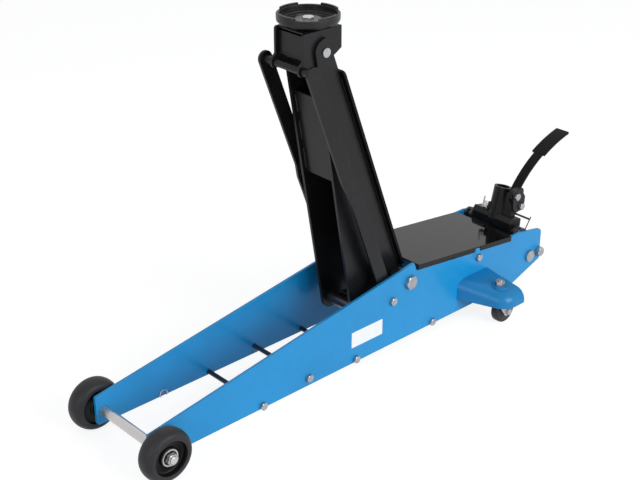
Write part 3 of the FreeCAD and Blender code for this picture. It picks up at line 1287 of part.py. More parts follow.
def from_yoke(along, up, radius=""):
    """A corner given from the yoke's pivot in hundredths of the pedal's size."""
    corner = (f"yoke_along + {along} * pedal_size / 100", f"yoke_high + {up} * pedal_size / 100")
    return corner + (f"{radius} * pedal_size / 100",) if radius else corner


PEDAL_BOLTS = [from_yoke(-2, 46.5), from_yoke(7, 31.5)]


def pedal():
    """A flat bar bent along a curve, with a wider tread."""
    lever = new_body("pedal_lever")
    upper = [from_yoke(8, 46.5), from_yoke(24, 62.5, 60), from_yoke(42, 77.5, 75), from_yoke(65, 92, 60),
             from_yoke(93, 101.5)]
    lower = [from_yoke(94, 98.5), from_yoke(66.5, 89, 60), from_yoke(44, 75, 75), from_yoke(26, 60.5, 60),
             from_yoke(10, 44.5)]
    slab(lever, "XZ_Plane", "-pedal_left + pedal_wide / 2", "pedal_wide", [upper + lower])
    slab(lever, "XZ_Plane", "-pedal_left + pad_wide / 2", "pad_wide", [
        [upper[2][:2], *upper[3:], *lower[:2], lower[2][:2]]])
    foot = "-pedal_left + lug_thick / 2"
    slab(lever, "XZ_Plane", foot, "lug_thick", [[
        from_yoke(-6, 42, 4), from_yoke(3, 27, 4), from_yoke(14, 28, 4), from_yoke(15, 53, 5),
        from_yoke(-4, 53, 5),
    ]])
    cut(lever, "XZ_Plane", foot, "lug_thick + 2", [
        (across, up, "pedal_bolt_radius + hole_play") for across, up in PEDAL_BOLTS])
    keep("pedal_lever", place(lever))

    bracket = new_body("pedal_bracket")
    outer = "(pedal_left + bracket_plate)"
    slab(bracket, "XZ_Plane", f"-{outer} + bracket_plate / 2", "bracket_plate", [[
        from_yoke(-12.5, -12.5, 10), from_yoke(12.5, -12.5, 10), from_yoke(12.5, 2, 5),
        ("yoke_along + hook_back + hook_lug", "yoke_high + hook_up - hook_lug - 3", "hook_lug"),
        ("yoke_along + hook_back + hook_lug", "yoke_high + hook_up + hook_lug + 2", "hook_lug"),
        from_yoke(7, 22, 5), from_yoke(15, 28, 4), from_yoke(15.5, 41, 4), from_yoke(5, 54, 4),
        from_yoke(-7.5, 51, 4), from_yoke(-7, 20, 15),
    ]])
    middle = f"-{outer} + bracket_plate / 2"
    cut(bracket, "XZ_Plane", middle, "bracket_plate * 2", [
        ("yoke_along", "yoke_high", "yoke_radius + hole_play"),
        ("yoke_along + hook_back", "yoke_high + hook_up", "hook_rod_radius + hole_play"),
        *[(across, up, "pedal_bolt_radius + hole_play") for across, up in PEDAL_BOLTS],
    ])
    keep("pedal_bracket", place(bracket))
    rod = bar("spring_rod", "hook_rod_radius", "hook_outer - hook_inner", "yoke_along + hook_back",
              "-hook_outer", "yoke_high + hook_up")
    keep("spring_rod", rod)
    bolts = []
    face = f"({outer})"
    for number, (across, up) in enumerate(PEDAL_BOLTS):
        shank = bar(f"pedal_shank_{number}", "pedal_bolt_radius", "bracket_plate + lug_thick", across,
                    f"-{face}", up)
        head = bolt_head(f"pedal_head_{number}", "pedal_nut_radius", "pedal_nut_thick", -1, across,
                         f"-{face} - pedal_nut_thick", up)
        bolts.append(joined(f"pedal_bolt_{number}", shank, head))
    keep("pedal_bolts", group("pedal_bolts", bolts))


def return_spring():
    """A torsion spring round the yoke's pin. Its legs leave the coil straight, one to the back of the spring
    rod and one to the back of the rear tie rod, so the coil's ends are where those lines touch it."""
    hook = Vector(value("hook_back"), value("hook_up"), 0)
    tie = Vector(value("rod_e_along - yoke_along"), value("rod_e_high - yoke_high"), 0)
    wire, coil, gap = value("wire_radius"), value("spring_radius"), value("side_play")

    def touch(target, radius, way):
        reach = coil - radius - wire - gap
        turn = math.atan2(target.y, target.x) + way * math.acos(reach / target.Length)
        return math.degrees(turn), math.sqrt(target.Length ** 2 - reach ** 2) + value("leg_past")
    start, foot_leg = touch(tie, value("rod_e_radius"), 1)
    end, arm_leg = touch(hook, value("hook_rod_radius"), -1)
    turns = (end - start) / 360 + value("spring_turns")

    def on_coil(turn):
        angle = math.radians(start + 360 * turn)
        return Vector(coil * math.cos(angle), coil * math.sin(angle), value("spring_pitch") * turn)
    back = Vector(math.sin(math.radians(start)), -math.cos(math.radians(start)), 0)
    ahead = Vector(-math.sin(math.radians(end)), math.cos(math.radians(end)), 0)
    steps = round(turns * 14)
    bends = [on_coil(turns * i / steps) for i in range(steps + 1)]
    tip = bends[0] + back * foot_leg
    path = Part.makePolygon([tip, *bends, bends[-1] + ahead * arm_leg])
    side = back.cross(Vector(0, 0, 1))
    flats = [tip + (side * math.cos(math.pi * i / 4) + Vector(0, 0, math.sin(math.pi * i / 4))) * wire
             for i in range(9)]
    spring = doc.addObject("Part::Feature", "return_spring_wire")
    spring.Shape = path.makePipeShell([Part.makePolygon(flats)], True, True, 1)
    keep("return_spring", place(spring, "yoke_along", "-spring_side", "yoke_high", (1, 0, 0), "90"))


def wire_eye():
    ring = doc.addObject("Part::Torus", "wire_eye")
    bind(ring, "Radius1", "eye_radius")
    bind(ring, "Radius2", "wire_radius")
    ring.Angle3 = 180
    keep("wire_eye", place(ring, "eye_along", PLATE_IN, "eye_high", (0, 0, 1), "180"))


def finish():
    doc.recompute()
    for thing in doc.Objects:
        if "Invalid" in thing.State or "Error" in thing.State:
            raise RuntimeError(f"{thing.Label} failed: {thing.State}")
    os.makedirs("parts", exist_ok=True)
    for label, piece in PARTS.items():
        shape = piece.Shape
        if shape.isNull() or not shape.isValid() or not shape.Solids:
            raise RuntimeError(f"{label} has no sound shape")
        shape.exportStep(f"parts/{label}.step")
    print(len(PARTS), "parts")


tie_rods()
front_axle()
axle_fasteners()
cover_plate()
bulkhead()
arm_webs()
arm_pins()
link_fittings()
saddle_bracket()
saddle()
pump_block()
cylinder()
ram()
unit_pins()
yoke()
handle_socket()
yoke_fittings()
pedal()
return_spring()
wire_eye()
for side_word, side_sign in SIDES:
    side_plate(side_word, side_sign)
    front_wheel(side_word, side_sign)
    outrigger(side_word, side_sign)
    caster(side_word, side_sign)
    arm_side_plate(side_word, side_sign)
    link_bar(side_word, side_sign)
keep("caster_races", group("caster_races", RACES))
keep("caster_studs", group("caster_studs", STUDS))
finish()
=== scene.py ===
import json
import math

import bmesh
import bpy
import numpy as np
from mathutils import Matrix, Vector


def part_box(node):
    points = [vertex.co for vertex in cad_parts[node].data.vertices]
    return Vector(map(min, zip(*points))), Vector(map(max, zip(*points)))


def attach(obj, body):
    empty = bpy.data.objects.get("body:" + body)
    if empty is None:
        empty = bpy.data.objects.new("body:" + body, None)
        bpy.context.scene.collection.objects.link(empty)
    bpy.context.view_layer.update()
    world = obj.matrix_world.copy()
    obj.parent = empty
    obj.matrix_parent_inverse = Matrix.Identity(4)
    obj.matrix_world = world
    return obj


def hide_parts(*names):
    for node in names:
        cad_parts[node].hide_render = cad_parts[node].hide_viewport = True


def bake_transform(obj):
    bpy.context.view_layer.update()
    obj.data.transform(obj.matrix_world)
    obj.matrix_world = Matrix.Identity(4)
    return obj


# Floor jack: finishes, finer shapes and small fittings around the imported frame.
# X runs from the front wheels to the pedal, -Y is the side with the pedal, Z is up.

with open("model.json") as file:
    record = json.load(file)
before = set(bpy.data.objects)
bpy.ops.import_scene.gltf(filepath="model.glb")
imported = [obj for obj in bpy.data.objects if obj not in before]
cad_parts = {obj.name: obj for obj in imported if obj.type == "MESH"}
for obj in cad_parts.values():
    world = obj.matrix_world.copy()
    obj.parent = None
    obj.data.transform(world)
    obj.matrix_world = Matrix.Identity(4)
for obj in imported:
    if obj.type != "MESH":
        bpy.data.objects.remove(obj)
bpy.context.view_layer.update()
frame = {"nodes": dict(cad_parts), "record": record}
nodes = frame["nodes"]
print("frame loaded:", len(nodes), "nodes")

# The finishes are in metres. Lines along Y that wheels turn on, as (along, up):
frontAxle = (-0.6055, 0.055)
casterAxle = (0.3215, 0.030)

# What most painted or plastic finishes and most bare metal ones share. spread is how far the colour
# wanders and patch the size of its clouds, rough and roughSpread the gloss, grain the size of the surface
# texture and relief its height, rub how strongly edges take the edge colour, which is lighter than the
# finish for edge wear and a painted edge highlight, and edgeSize how far they do, scuff the share of fine
# scratches, gleam the specular level.
paint = dict(spread=0.22, patch=0.02, roughSpread=0.12, metal=0.0, grain=0.0016, relief=0.00005,
             rub=0.35, edgeSize=0.0010, coat=0.0, scuff=0.10)
steel = dict(spread=0.18, patch=0.012, rough=0.30, roughSpread=0.16, metal=0.9, grain=0.0009,
             relief=0.00003, rub=0.4, edgeSize=0.0006, coat=0.0, gleam=0.5, scuff=0.15)

# One entry for each finish. dust is the colour that settles low down. turned is the axle that the lathe
# rings run round, inner a painted shade within a radius of it for the dished recess, and bright a ring of
# bare metal round it.
finishes = {
    "blue_paint": dict(paint, colour="128dcc", edge="5fb2e6", spread=0.07, patch=0.16, rough=0.34,
                       edgeSize=0.0012, coat=0.08, gleam=0.32),
    # a darker copy of the blue paint for the outriggers' hoods: painted shade, since their tops catch less
    # light
    "hood_blue_painted_shade": dict(paint, colour="0f7ab4", edge="5fb2e6", spread=0.08, patch=0.16, rough=0.36,
                      edgeSize=0.0016, coat=0.06, gleam=0.30),
    "black_paint": dict(paint, colour="18181a", edge="4a4a4c", patch=0.12, rough=0.32, grain=0.0014,
                        edgeSize=0.0012, gleam=0.22, scuff=0.12),
    # near black: on the arm's top plate and the welds along it this is painted shade, the shadow of the
    # overhanging web; on the pedal it is the pedal's darker black
    "pedal_black_and_flange_shade": dict(paint, colour="070708", edge="2a2a2c", patch=0.12, rough=0.42, grain=0.0014,
                         rub=0.25, edgeSize=0.0008, gleam=0.10, scuff=0.08),
    "deck_black": dict(paint, colour="101011", edge="4c4c4e", spread=0.20, patch=0.10, rough=0.07,
                       roughSpread=0.05, grain=0.0100, relief=0.00003, rub=0.30, gleam=0.21, scuff=0.08),
    "cast_black": dict(paint, colour="161618", edge="4c4c4e", rough=0.36, roughSpread=0.14, grain=0.0018,
                       relief=0.00014, rub=0.40, gleam=0.22, scuff=0.08),
    # the saddle cup's lighter rim is a painted highlight as well as wear
    "saddle_black": dict(paint, colour="1a1a1c", edge="747476", patch=0.015, rough=0.38, roughSpread=0.16,
                         relief=0.00012, rub=0.60, gleam=0.28, scuff=0.15),
    "unit_grey": dict(paint, colour="27282a", edge="5c5c5b", patch=0.04, rough=0.38, grain=0.0018,
                      relief=0.00010, rub=0.4, coat=0.06, gleam=0.34, scuff=0.08),
    # the dark inner colour is painted shade in the wheel's dished recess
    "wheel_nylon": dict(paint, colour="27272a", edge="4c4c4e", dust="4b4a48", spread=0.16, patch=0.03,
                        rough=0.50, grain=0.0011, rub=0.30, gleam=0.26, turned=frontAxle,
                        inner=(0.0375, "070708")),
    "caster_nylon": dict(paint, colour="1e1f21", edge="4a4a4c", dust="55534f", spread=0.18, rough=0.46,
                         grain=0.0010, rub=0.30, edgeSize=0.0008, gleam=0.32, turned=casterAxle),
    "label_white": dict(paint, colour="f0f3f3", edge="ffffff", spread=0.02, patch=0.03, rough=0.32,
                        roughSpread=0.08, grain=0.0010, relief=0.00001, rub=0.1, edgeSize=0.0003,
                        coat=0.15, gleam=0.4, scuff=0.05),
    "zinc": dict(steel, colour="a8a9ac", edge="eeeeee", spread=0.16, rub=0.5),
    "caster_zinc": dict(steel, colour="aeb0b3", edge="e4e4e4", patch=0.015),
    "washer_grey": dict(steel, colour="6a6b6d", edge="bcbcbc", spread=0.2, rough=0.38, metal=0.7,
                        grain=0.0008, rub=0.5, scuff=0.2),
    "bright_steel": dict(steel, colour="c6c3c3", edge="f2f2f2", spread=0.04, patch=0.05, rough=0.26,
                         roughSpread=0.08, grain=0.0016, relief=0.00001, rub=0.3, scuff=0.05,
                         turned=frontAxle),
    "hub_steel": dict(steel, colour="1a1a1b", edge="c2c2c2", spread=0.2, rough=0.34, roughSpread=0.14,
                      metal=0.6, grain=0.0008, rub=0.3, edgeSize=0.0008, gleam=0.4, scuff=0.1,
                      turned=frontAxle, bright=(0.0151, 0.0185)),
    "black_rod": dict(steel, colour="4a4b50", edge="7a7b7e", patch=0.03, rough=0.32, roughSpread=0.12,
                      metal=0.8, grain=0.0008, gleam=0.4, scuff=0.10),
    "chrome_rod": dict(steel, colour="dcdee0", edge="ffffff", spread=0.05, patch=0.03, rough=0.10,
                       roughSpread=0.06, metal=1.0, grain=0.0006, relief=0.00001, rub=0.1,
                       edgeSize=0.0005, scuff=0.05),
    "spring_steel": dict(steel, colour="3e3f43", edge="8c8c90", spread=0.16, patch=0.01, roughSpread=0.12,
                         metal=0.85, grain=0.0006, relief=0.00002, rub=0.3, edgeSize=0.0004, scuff=0.1),
}

# What all finishes share. A noise is (detail, roughness), a range is (low, high), and the entries that end
# in Patch are shares of the finish's own patch.
wear = dict(cloud=(4.0, 0.55), fine=(3.0, 0.6), finePatch=0.12, cloudShare=0.75, cloudRange=(0.34, 0.66),
            rub=(5.0, 0.7), rubPatch=0.25, rubRange=(0.35, 0.7), edgeSamples=4, edgeTurn=(0.985, 0.80),
            scratch=(2.0, 0.5), scratchSize=0.0016, scratchRange=(0.685, 0.72), scratchTilt=0.7,
            scratchWays=((0.35, (1.0, 0.04, 0.55)), (-0.6, (0.05, 0.5, 1.0))),
            dust=(6.0, 0.7), dustSize=0.004, dustRange=(0.45, 0.75), dustTop=0.05, dustShare=0.35,
            grain=(2.0, 0.55), ringShare=0.7, innerSoft=0.0004, innerShare=0.95, brightSoft=0.0002,
            streak=(6.0, 0.65), streakPatch=0.3, streakStretch=(1.0, 0.3, 0.25), streakRange=(0.3, 0.7),
            wornGloss=0.2, reliefStrength=0.6, coatRough=0.12)


class Wiring:
    # short words for building a node tree, which starts out empty
    def __init__(self, tree):
        self.tree = tree
        self.tree.nodes.clear()

    def feed(self, socket, source):
        if isinstance(source, bpy.types.NodeSocket):
            self.tree.links.new(source, socket)
        else:
            socket.default_value = source

    def node(self, kind, sockets=None, **settings):
        made = self.tree.nodes.new(kind)
        for key, setting in settings.items():
            setattr(made, key, setting)
        for key, source in (sockets or {}).items():
            self.feed(made.inputs[key], source)
        return made

    def maths(self, operation, *values):
        return self.node("ShaderNodeMath", dict(enumerate(values)), operation=operation).outputs[0]

    def weighed(self, first, second, share):
        # first * share + second * (1 - share)
        return self.maths("ADD", self.maths("MULTIPLY", first, share),
                          self.maths("MULTIPLY", second, 1 - share))

    def between(self, low, high, amount):
        # where amount lies between low and high, as 0 to 1
        return self.node("ShaderNodeMapRange", {0: amount, 1: low, 2: high}).outputs[0]

    def blend(self, amount, under, over):
        made = self.node("ShaderNodeMix", data_type="RGBA")
        for number, source in ((0, amount), (6, under), (7, over)):
            self.feed(made.inputs[number], source)
        return made.outputs[2]

    def noise(self, place, size, detail, rough):
        return self.node("ShaderNodeTexNoise", {"Vector": place, "Scale": 1.0 / size, "Detail": detail,
                                                "Roughness": rough}).outputs["Fac"]

    def mapped(self, place, stretch, turn=(0.0, 0.0, 0.0)):
        return self.node("ShaderNodeMapping", {"Vector": place, "Rotation": turn,
                                               "Scale": stretch}).outputs[0]


def shade(hexColour):
    # a screen colour such as "3498db" as the linear numbers that a shader takes
    parts = [int(hexColour[i:i + 2], 16) / 255 for i in (0, 2, 4)]
    linear = [c / 12.92 if c < 0.04045 else ((c + 0.055) / 1.055) ** 2.4 for c in parts]
    return (*linear, 1.0)


def toned(colour, factor):
    return (*(min(c * factor, 1.0) for c in colour[:3]), 1.0)


def newMaterial(name):
    material = bpy.data.materials.new(name)
    material.use_nodes = True
    return material, Wiring(material.node_tree)


def axleReach(w, place, axle):
    # the distance from the axle's line, and the place along it
    x, y, z = w.node("ShaderNodeSeparateXYZ", {0: place}).outputs
    along, up = w.maths("SUBTRACT", x, axle[0]), w.maths("SUBTRACT", z, axle[1])
    squares = w.maths("ADD", w.maths("MULTIPLY", along, along), w.maths("MULTIPLY", up, up))
    return w.maths("SQRT", squares, 0.0), y


def makeFinish(name, look):
    # clouded colour, edges in a lighter colour that is both wear and a painted highlight, fine scratches,
    # dust low down where asked, relief and uneven gloss
    material, w = newMaterial(name)
    place = w.node("ShaderNodeTexCoord").outputs["Object"]
    patch, spread, colour = look["patch"], look["spread"], shade(look["colour"])
    wander = w.weighed(w.noise(place, patch, *wear["cloud"]),
                       w.noise(place, patch * wear["finePatch"], *wear["fine"]), wear["cloudShare"])
    tint = w.blend(w.between(*wear["cloudRange"], wander), toned(colour, 1 - spread),
                   toned(colour, 1 + spread))

    # a bevelled normal turns away from the face's own near an edge
    soft = w.node("ShaderNodeBevel", {"Radius": look["edgeSize"]}, samples=wear["edgeSamples"]).outputs[0]
    facing = w.node("ShaderNodeNewGeometry").outputs["Normal"]
    turn = w.node("ShaderNodeVectorMath", {0: soft, 1: facing}, operation="DOT_PRODUCT").outputs["Value"]
    patchy = w.between(*wear["rubRange"], w.noise(place, patch * wear["rubPatch"], *wear["rub"]))
    # edges take the lighter edge colour in patches: edge wear and a painted edge highlight
    rubbedAndHighlitEdges = w.maths("MULTIPLY", w.between(*wear["edgeTurn"], turn),
                     w.maths("MULTIPLY", patchy, look["rub"]))
    lines = []
    for angle, stretch in wear["scratchWays"]:
        across = w.mapped(place, stretch, (angle, angle * wear["scratchTilt"], angle))
        lines.append(w.between(*wear["scratchRange"],
                               w.noise(across, wear["scratchSize"], *wear["scratch"])))
    scratch = w.maths("MULTIPLY", w.maths("MULTIPLY", w.maths("MAXIMUM", *lines), patchy), look["scuff"])
    wearAndEdgeHighlight = w.maths("MAXIMUM", rubbedAndHighlitEdges, scratch)
    tint = w.blend(wearAndEdgeHighlight, tint, shade(look["edge"]))

    if "dust" in look:
        height = w.node("ShaderNodeSeparateXYZ", {0: place}).outputs["Z"]
        speck = w.between(*wear["dustRange"], w.noise(place, wear["dustSize"], *wear["dust"]))
        dust = w.maths("MULTIPLY", w.between(wear["dustTop"], 0.0, height),
                       w.maths("MULTIPLY", speck, wear["dustShare"]))
        tint = w.blend(dust, tint, shade(look["dust"]))

    texture = w.noise(place, look["grain"], *wear["grain"])
    if "turned" in look:
        # lathe rings: the noise runs over the distance from the axle and the place along it
        reach, side = axleReach(w, place, look["turned"])
        ringPlace = w.node("ShaderNodeCombineXYZ", {"X": reach, "Y": side}).outputs[0]
        texture = w.weighed(w.noise(ringPlace, look["grain"], *wear["grain"]), texture, wear["ringShare"])
        # inner: a darker colour inside a radius of the axle, painted shade for the dished recess
        if "inner" in look:
            radius, dark = look["inner"]
            inside = w.between(radius + wear["innerSoft"], radius - wear["innerSoft"], reach)
            tint = w.blend(w.maths("MULTIPLY", inside, wear["innerShare"]), tint, shade(dark))
        if "bright" in look:
            low, high = look["bright"]
            ring = w.maths("MULTIPLY", w.between(low - wear["brightSoft"], low, reach),
                           w.between(high, high - wear["brightSoft"], reach))
            tint = w.blend(ring, tint, shade(look["edge"]))

    streak = w.noise(w.mapped(place, wear["streakStretch"]), patch * wear["streakPatch"], *wear["streak"])
    streaky = w.maths("MULTIPLY", w.between(*wear["streakRange"], streak), look["roughSpread"])
    gloss = w.maths("ADD", w.maths("ADD", look["rough"] - look["roughSpread"] / 2, streaky),
                    w.maths("MULTIPLY", wearAndEdgeHighlight, wear["wornGloss"]))
    relief = w.node("ShaderNodeBump", {"Height": texture, "Distance": look["relief"], "Normal": soft,
                                       "Strength": wear["reliefStrength"]})
    surface = w.node("ShaderNodeBsdfPrincipled", {
        "Base Color": tint, "Metallic": look["metal"], "Roughness": gloss, "Normal": relief.outputs[0],
        "Coat Weight": look["coat"], "Coat Roughness": wear["coatRough"],
        "Specular IOR Level": look["gleam"],
    })
    w.node("ShaderNodeOutputMaterial", {"Surface": surface.outputs[0]})
    return material


# nodes whose finish differs from the rest of their slot; the arm's top plate and the outriggers take
# darker finishes that are painted shade
ownFinish = {"wheel_bush_left": "hub_steel", "wheel_bush_right": "hub_steel", "axle_washers": "hub_steel",
             "arm_top_plate": "pedal_black_and_flange_shade", "outrigger_left": "hood_blue_painted_shade",
             "outrigger_right": "hood_blue_painted_shade", "yoke_bushes": "black_rod", "spring_rod": "washer_grey"}
materials = {slot: makeFinish(slot.replace("_", " "), look) for slot, look in finishes.items()}
slotOf = {part["node"]: part["material_slot"] for part in frame["record"]["subparts"]}
for nodeName, slotName in slotOf.items():
    for held in nodes[nodeName].material_slots:
        held.material = materials[ownFinish.get(nodeName, slotName)]
print("finishes:", len(materials))


# Shapes. Their sizes are in millimetres, in the frame's own axes. An outline is a list of corners in the
# XZ plane, each (along, up, radius).
mm = 0.001


def gridMesh(name, points, closeRound=False, closeLong=False, closeEnds=False, sharp=40):
    # points is rows by columns by 3: the rows follow the path and the columns go round it
    rows, columns = points.shape[:2]
    i, j = np.meshgrid(np.arange(rows if closeLong else rows - 1),
                       np.arange(columns if closeRound else columns - 1), indexing="ij")
    i2, j2 = (i + 1) % rows, (j + 1) % columns
    faces = np.stack([i * columns + j, i * columns + j2, i2 * columns + j2, i2 * columns + j], -1)
    faces = faces.reshape(-1, 4).tolist()
    if closeEnds:
        faces.append(list(range(columns))[::-1])
        faces.append(list(range((rows - 1) * columns, rows * columns)))
    mesh = bpy.data.meshes.new(name)
    mesh.from_pydata((points.reshape(-1, 3) * mm).tolist(), [], faces)
    if closeRound:
        shell = bmesh.new()
        shell.from_mesh(mesh)
        bmesh.ops.recalc_face_normals(shell, faces=shell.faces)
        shell.to_mesh(mesh)
        shell.free()
    mesh.shade_smooth()
    if closeEnds:
        mesh.set_sharp_from_angle(angle=math.radians(sharp))
    piece = bpy.data.objects.new(name, mesh)
    bpy.context.scene.collection.objects.link(piece)
    return piece


def unit(rows):
    return rows / np.linalg.norm(rows, axis=-1, keepdims=True)


def roundedOutline(corners, steps=7, supportShare=0.1, supportLeast=0.05):
    # each corner becomes an arc that touches both of its sides
    spots = np.array([corner[:2] for corner in corners], float)
    radii = np.array([corner[2] for corner in corners], float)[:, None]
    back, ahead = unit(np.roll(spots, 1, 0) - spots), unit(np.roll(spots, -1, 0) - spots)
    opening = np.arccos(np.clip((back * ahead).sum(-1, keepdims=True), -1, 1))
    middle = spots + unit(back + ahead) * radii / np.sin(opening / 2)
    first = spots + back * radii / np.tan(opening / 2) - middle
    last = spots + ahead * radii / np.tan(opening / 2) - middle
    share, sweep = np.linspace(0, 1, steps)[None, :, None], (math.pi - opening)[:, None, :]
    arcs = (np.sin((1 - share) * sweep) * first[:, None]
            + np.sin(share * sweep) * last[:, None]) / np.sin(sweep)
    # a point just before and after each arc keeps the shading of the flat sides flat
    support = supportShare * radii + supportLeast
    before, after = middle + first + back * support, middle + last + ahead * support
    return np.concatenate([before[:, None], middle[:, None] + arcs, after[:, None]], 1).reshape(-1, 2)


def rectangle(front, low, rear, high, radius):
    return [(front, low, radius), (rear, low, radius), (rear, high, radius), (front, high, radius)]


def sideways(name, flat, side):
    # a closed skin through points in the XZ plane, each with its place along Y
    side = np.broadcast_to(side, flat.shape[:2])
    points = np.stack([flat[..., 0], side, flat[..., 1]], -1)
    return gridMesh(name, points, closeRound=True, closeEnds=True)


def plate(name, corners, low, high, rim=0.8, supportRow=1.2, rimSteps=5):
    # an outline carried along Y from low to high, drawn in by a quarter circle at each rim
    ring = roundedOutline(corners)
    along = unit(np.roll(ring, -1, 0) - np.roll(ring, 1, 0))
    area = (ring[:, 0] * np.roll(ring[:, 1], -1) - np.roll(ring[:, 0], -1) * ring[:, 1]).sum()
    outward = np.stack([along[:, 1], -along[:, 0]], -1) * np.sign(area)
    turn = np.linspace(0, math.pi / 2, rimSteps)
    support = rim * supportRow
    inset = np.concatenate([[support], rim * (1 - np.sin(turn)), [0]])
    level = np.concatenate([[0], rim * (1 - np.cos(turn)), [support]])
    inset = np.concatenate([inset, inset[::-1]])
    level = np.concatenate([low + level, high - level[::-1]])
    return sideways(name, ring[None] - outward[None] * inset[:, None, None], level[:, None])


def turnedOnY(name, profile, centre, segments=112):
    # a closed profile of (radius, side) turned round a line along Y through centre (along, up)
    angle = np.linspace(0, 2 * math.pi, segments, endpoint=False)[:, None]
    radius, side = profile[None, :, 0], profile[None, :, 1]
    points = np.stack([centre[0] + radius * np.cos(angle),
                       np.broadcast_to(side, (segments, len(profile))),
                       centre[1] + radius * np.sin(angle)], -1)
    return gridMesh(name, points, closeRound=True, closeLong=True)


def smoothLine(spots, count, degree=3):
    # a polynomial through the spots, over the length of the line that joins them
    spots = np.array(spots, float)
    reach = np.concatenate([[0], np.cumsum(np.linalg.norm(np.diff(spots, axis=0), axis=1))])
    reach /= reach[-1]
    fine = np.linspace(0, 1, count)
    return np.stack([np.polyval(np.polyfit(reach, spots[:, k], degree), fine) for k in range(2)], -1)


def tube(name, line, radius, sides=14, guide=(0, 1, 0)):
    # a circle carried along a line: its frame is the line's direction, and guide made square to it
    ahead = unit(np.gradient(line, axis=0))
    guide = np.array(guide, float)
    first = unit(guide - ahead * (ahead @ guide)[:, None])
    second = np.cross(ahead, first)
    angle = np.linspace(0, 2 * math.pi, sides, endpoint=False)[None, :, None]
    points = line[:, None] + radius * (np.cos(angle) * first[:, None] + np.sin(angle) * second[:, None])
    return gridMesh(name, points, closeRound=True, closeEnds=True)


def fit(piece, body, slot, *replaced, finish=None):
    piece.data.materials.clear()
    piece.data.materials.append(materials[finish or slot])
    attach(piece, body)
    if replaced:
        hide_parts(*replaced)
    return piece


bothSides = (("left", -1), ("right", 1))

# Blank label on the left side plate, where the real jack has its own: a thin plate with rounded corners
blankLabel = dict(front=-93.5, low=63.0, rear=-1.5, high=100.0, corner=1.0, thick=0.5, rim=0.2)


def makeLabel(size):
    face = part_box("side_plate_left")[0].y / mm
    corners = rectangle(size["front"], size["low"], size["rear"], size["high"], size["corner"])
    label = plate("blank_label", corners, face - size["thick"], face, rim=size["rim"])
    fit(label, "chassis", "zinc", finish="label_white")


makeLabel(blankLabel)
print("label made")

# Front wheels: a barrel tread and a dish on each side, the outer one deeper, with a hub round the bush.
# The profiles are (radius, side) from the wheel's middle, lipSteps is (out from the dish's wall, in from
# the wheel's side).
frontWheel = dict(centre=(-605.5, 55.0), side=118.0, half=21.0, radius=55.0, power=0.72, rim=39.5,
                  wall=37.0, floor=7.0, corner=4.0, backFloor=14.0, backCorner=2.0, hub=20.0, hubTop=14.0,
                  bore=14.0, fillet=1.5, chamfer=1.0, hubRound=0.3,
                  lipSteps=((1.6, 0.0), (0.6, 0.1), (0.0, 0.8)))


def makeFrontWheel(size, word, sign):
    # radius over the tread: rim + (radius - rim) * sin(turn) ^ power at -half * cos(turn) from its middle
    half, rim, wall, hub, fillet = (size[key] for key in ("half", "rim", "wall", "hub", "fillet"))
    turn, foot = np.linspace(0, math.pi, 49), np.linspace(0, math.pi / 2, 9)
    tread = np.stack([rim + (size["radius"] - rim) * np.sin(turn) ** size["power"],
                      -half * np.cos(turn)], -1)
    lip = np.array([(wall + out, half - inward) for out, inward in size["lipSteps"]])
    floor, corner = size["floor"], size["corner"]
    dish = np.stack([wall - corner + corner * np.cos(foot), floor + corner - corner * np.sin(foot)], -1)
    top, chamfer, edge = size["hubTop"], size["chamfer"], size["hubRound"]
    boss = [(hub + fillet, floor), (hub, floor + fillet), (hub, top - chamfer), (hub - edge, top - edge),
            (hub - chamfer, top), (size["bore"], top)]
    rear, turnIn = -size["backFloor"], size["backCorner"]
    back = [(size["bore"], -half), (hub - chamfer, -half), (hub, chamfer - half), (hub, rear - fillet),
            (hub + fillet, rear), (wall - turnIn, rear), (wall, rear - turnIn)]
    profile = np.concatenate([back, lip[::-1] * (1, -1), tread, lip, dish, boss])
    profile[:, 1] = sign * (size["side"] + profile[:, 1])
    wheel = turnedOnY(f"barrel_wheel_{word}", profile, size["centre"])
    fit(wheel, f"front_wheel_{word}", "wheel_nylon", f"front_wheel_{word}")


for word, sign in bothSides:
    makeFrontWheel(frontWheel, word, sign)
print("front wheels made")

# Yoke: a block whose top is square to the leaning socket, on a tube round the pin, with two ears for the
# cam pin. step is where the tube's ends drop to their thinner middle, and up the block's top on the lean.
yoke = dict(pivot=(472.5, 142.0), lean=14.5, up=30.4, socket=21.0, left=-57.7, right=60.0, rim=1.5,
            block=[(457.5, 141, 2.5), (458.5, 164, 2.5), (466.5, 175, 2.5), (499.5, 166.5, 2.5),
                   (497, 141, 4)],
            end=67.0, round=15.5, bore=10.1, chamfer=1.2, edge=0.35, step=6.0, drop=1.5, ear=(9.6, 15.6),
            earCorners=[(464.5, 126, 2), (488.5, 125, 6), (495.5, 136, 6), (486.5, 150, 2)])


def leaned(size, across, up):
    turn = math.radians(size["lean"])
    return (size["pivot"][0] + across * math.cos(turn) + up * math.sin(turn),
            size["pivot"][1] - across * math.sin(turn) + up * math.cos(turn))


def makeYoke(size):
    block = plate("yoke_block", size["block"], size["left"], size["right"], rim=size["rim"])
    fit(block, "yoke", "cast_black", "handle_yoke")
    end, reach, bore, chamfer, edge, step, drop = (
        size[key] for key in ("end", "round", "bore", "chamfer", "edge", "step", "drop"))
    near = np.array([(bore, -end), (reach - chamfer, -end), (reach - edge, edge - end),
                     (reach, chamfer - end), (reach, step - end), (reach - drop, step + drop - end)])
    profile = np.concatenate([near, near[::-1] * (1, -1)])
    fit(turnedOnY("yoke_ends", profile, size["pivot"]), "yoke", "cast_black")
    for word, sign in bothSides:
        near, far = sorted(sign * place for place in size["ear"])
        fit(plate(f"cam_ear_{word}", size["earCorners"], near, far), "yoke", "cast_black")


makeYoke(yoke)
print("yoke made")

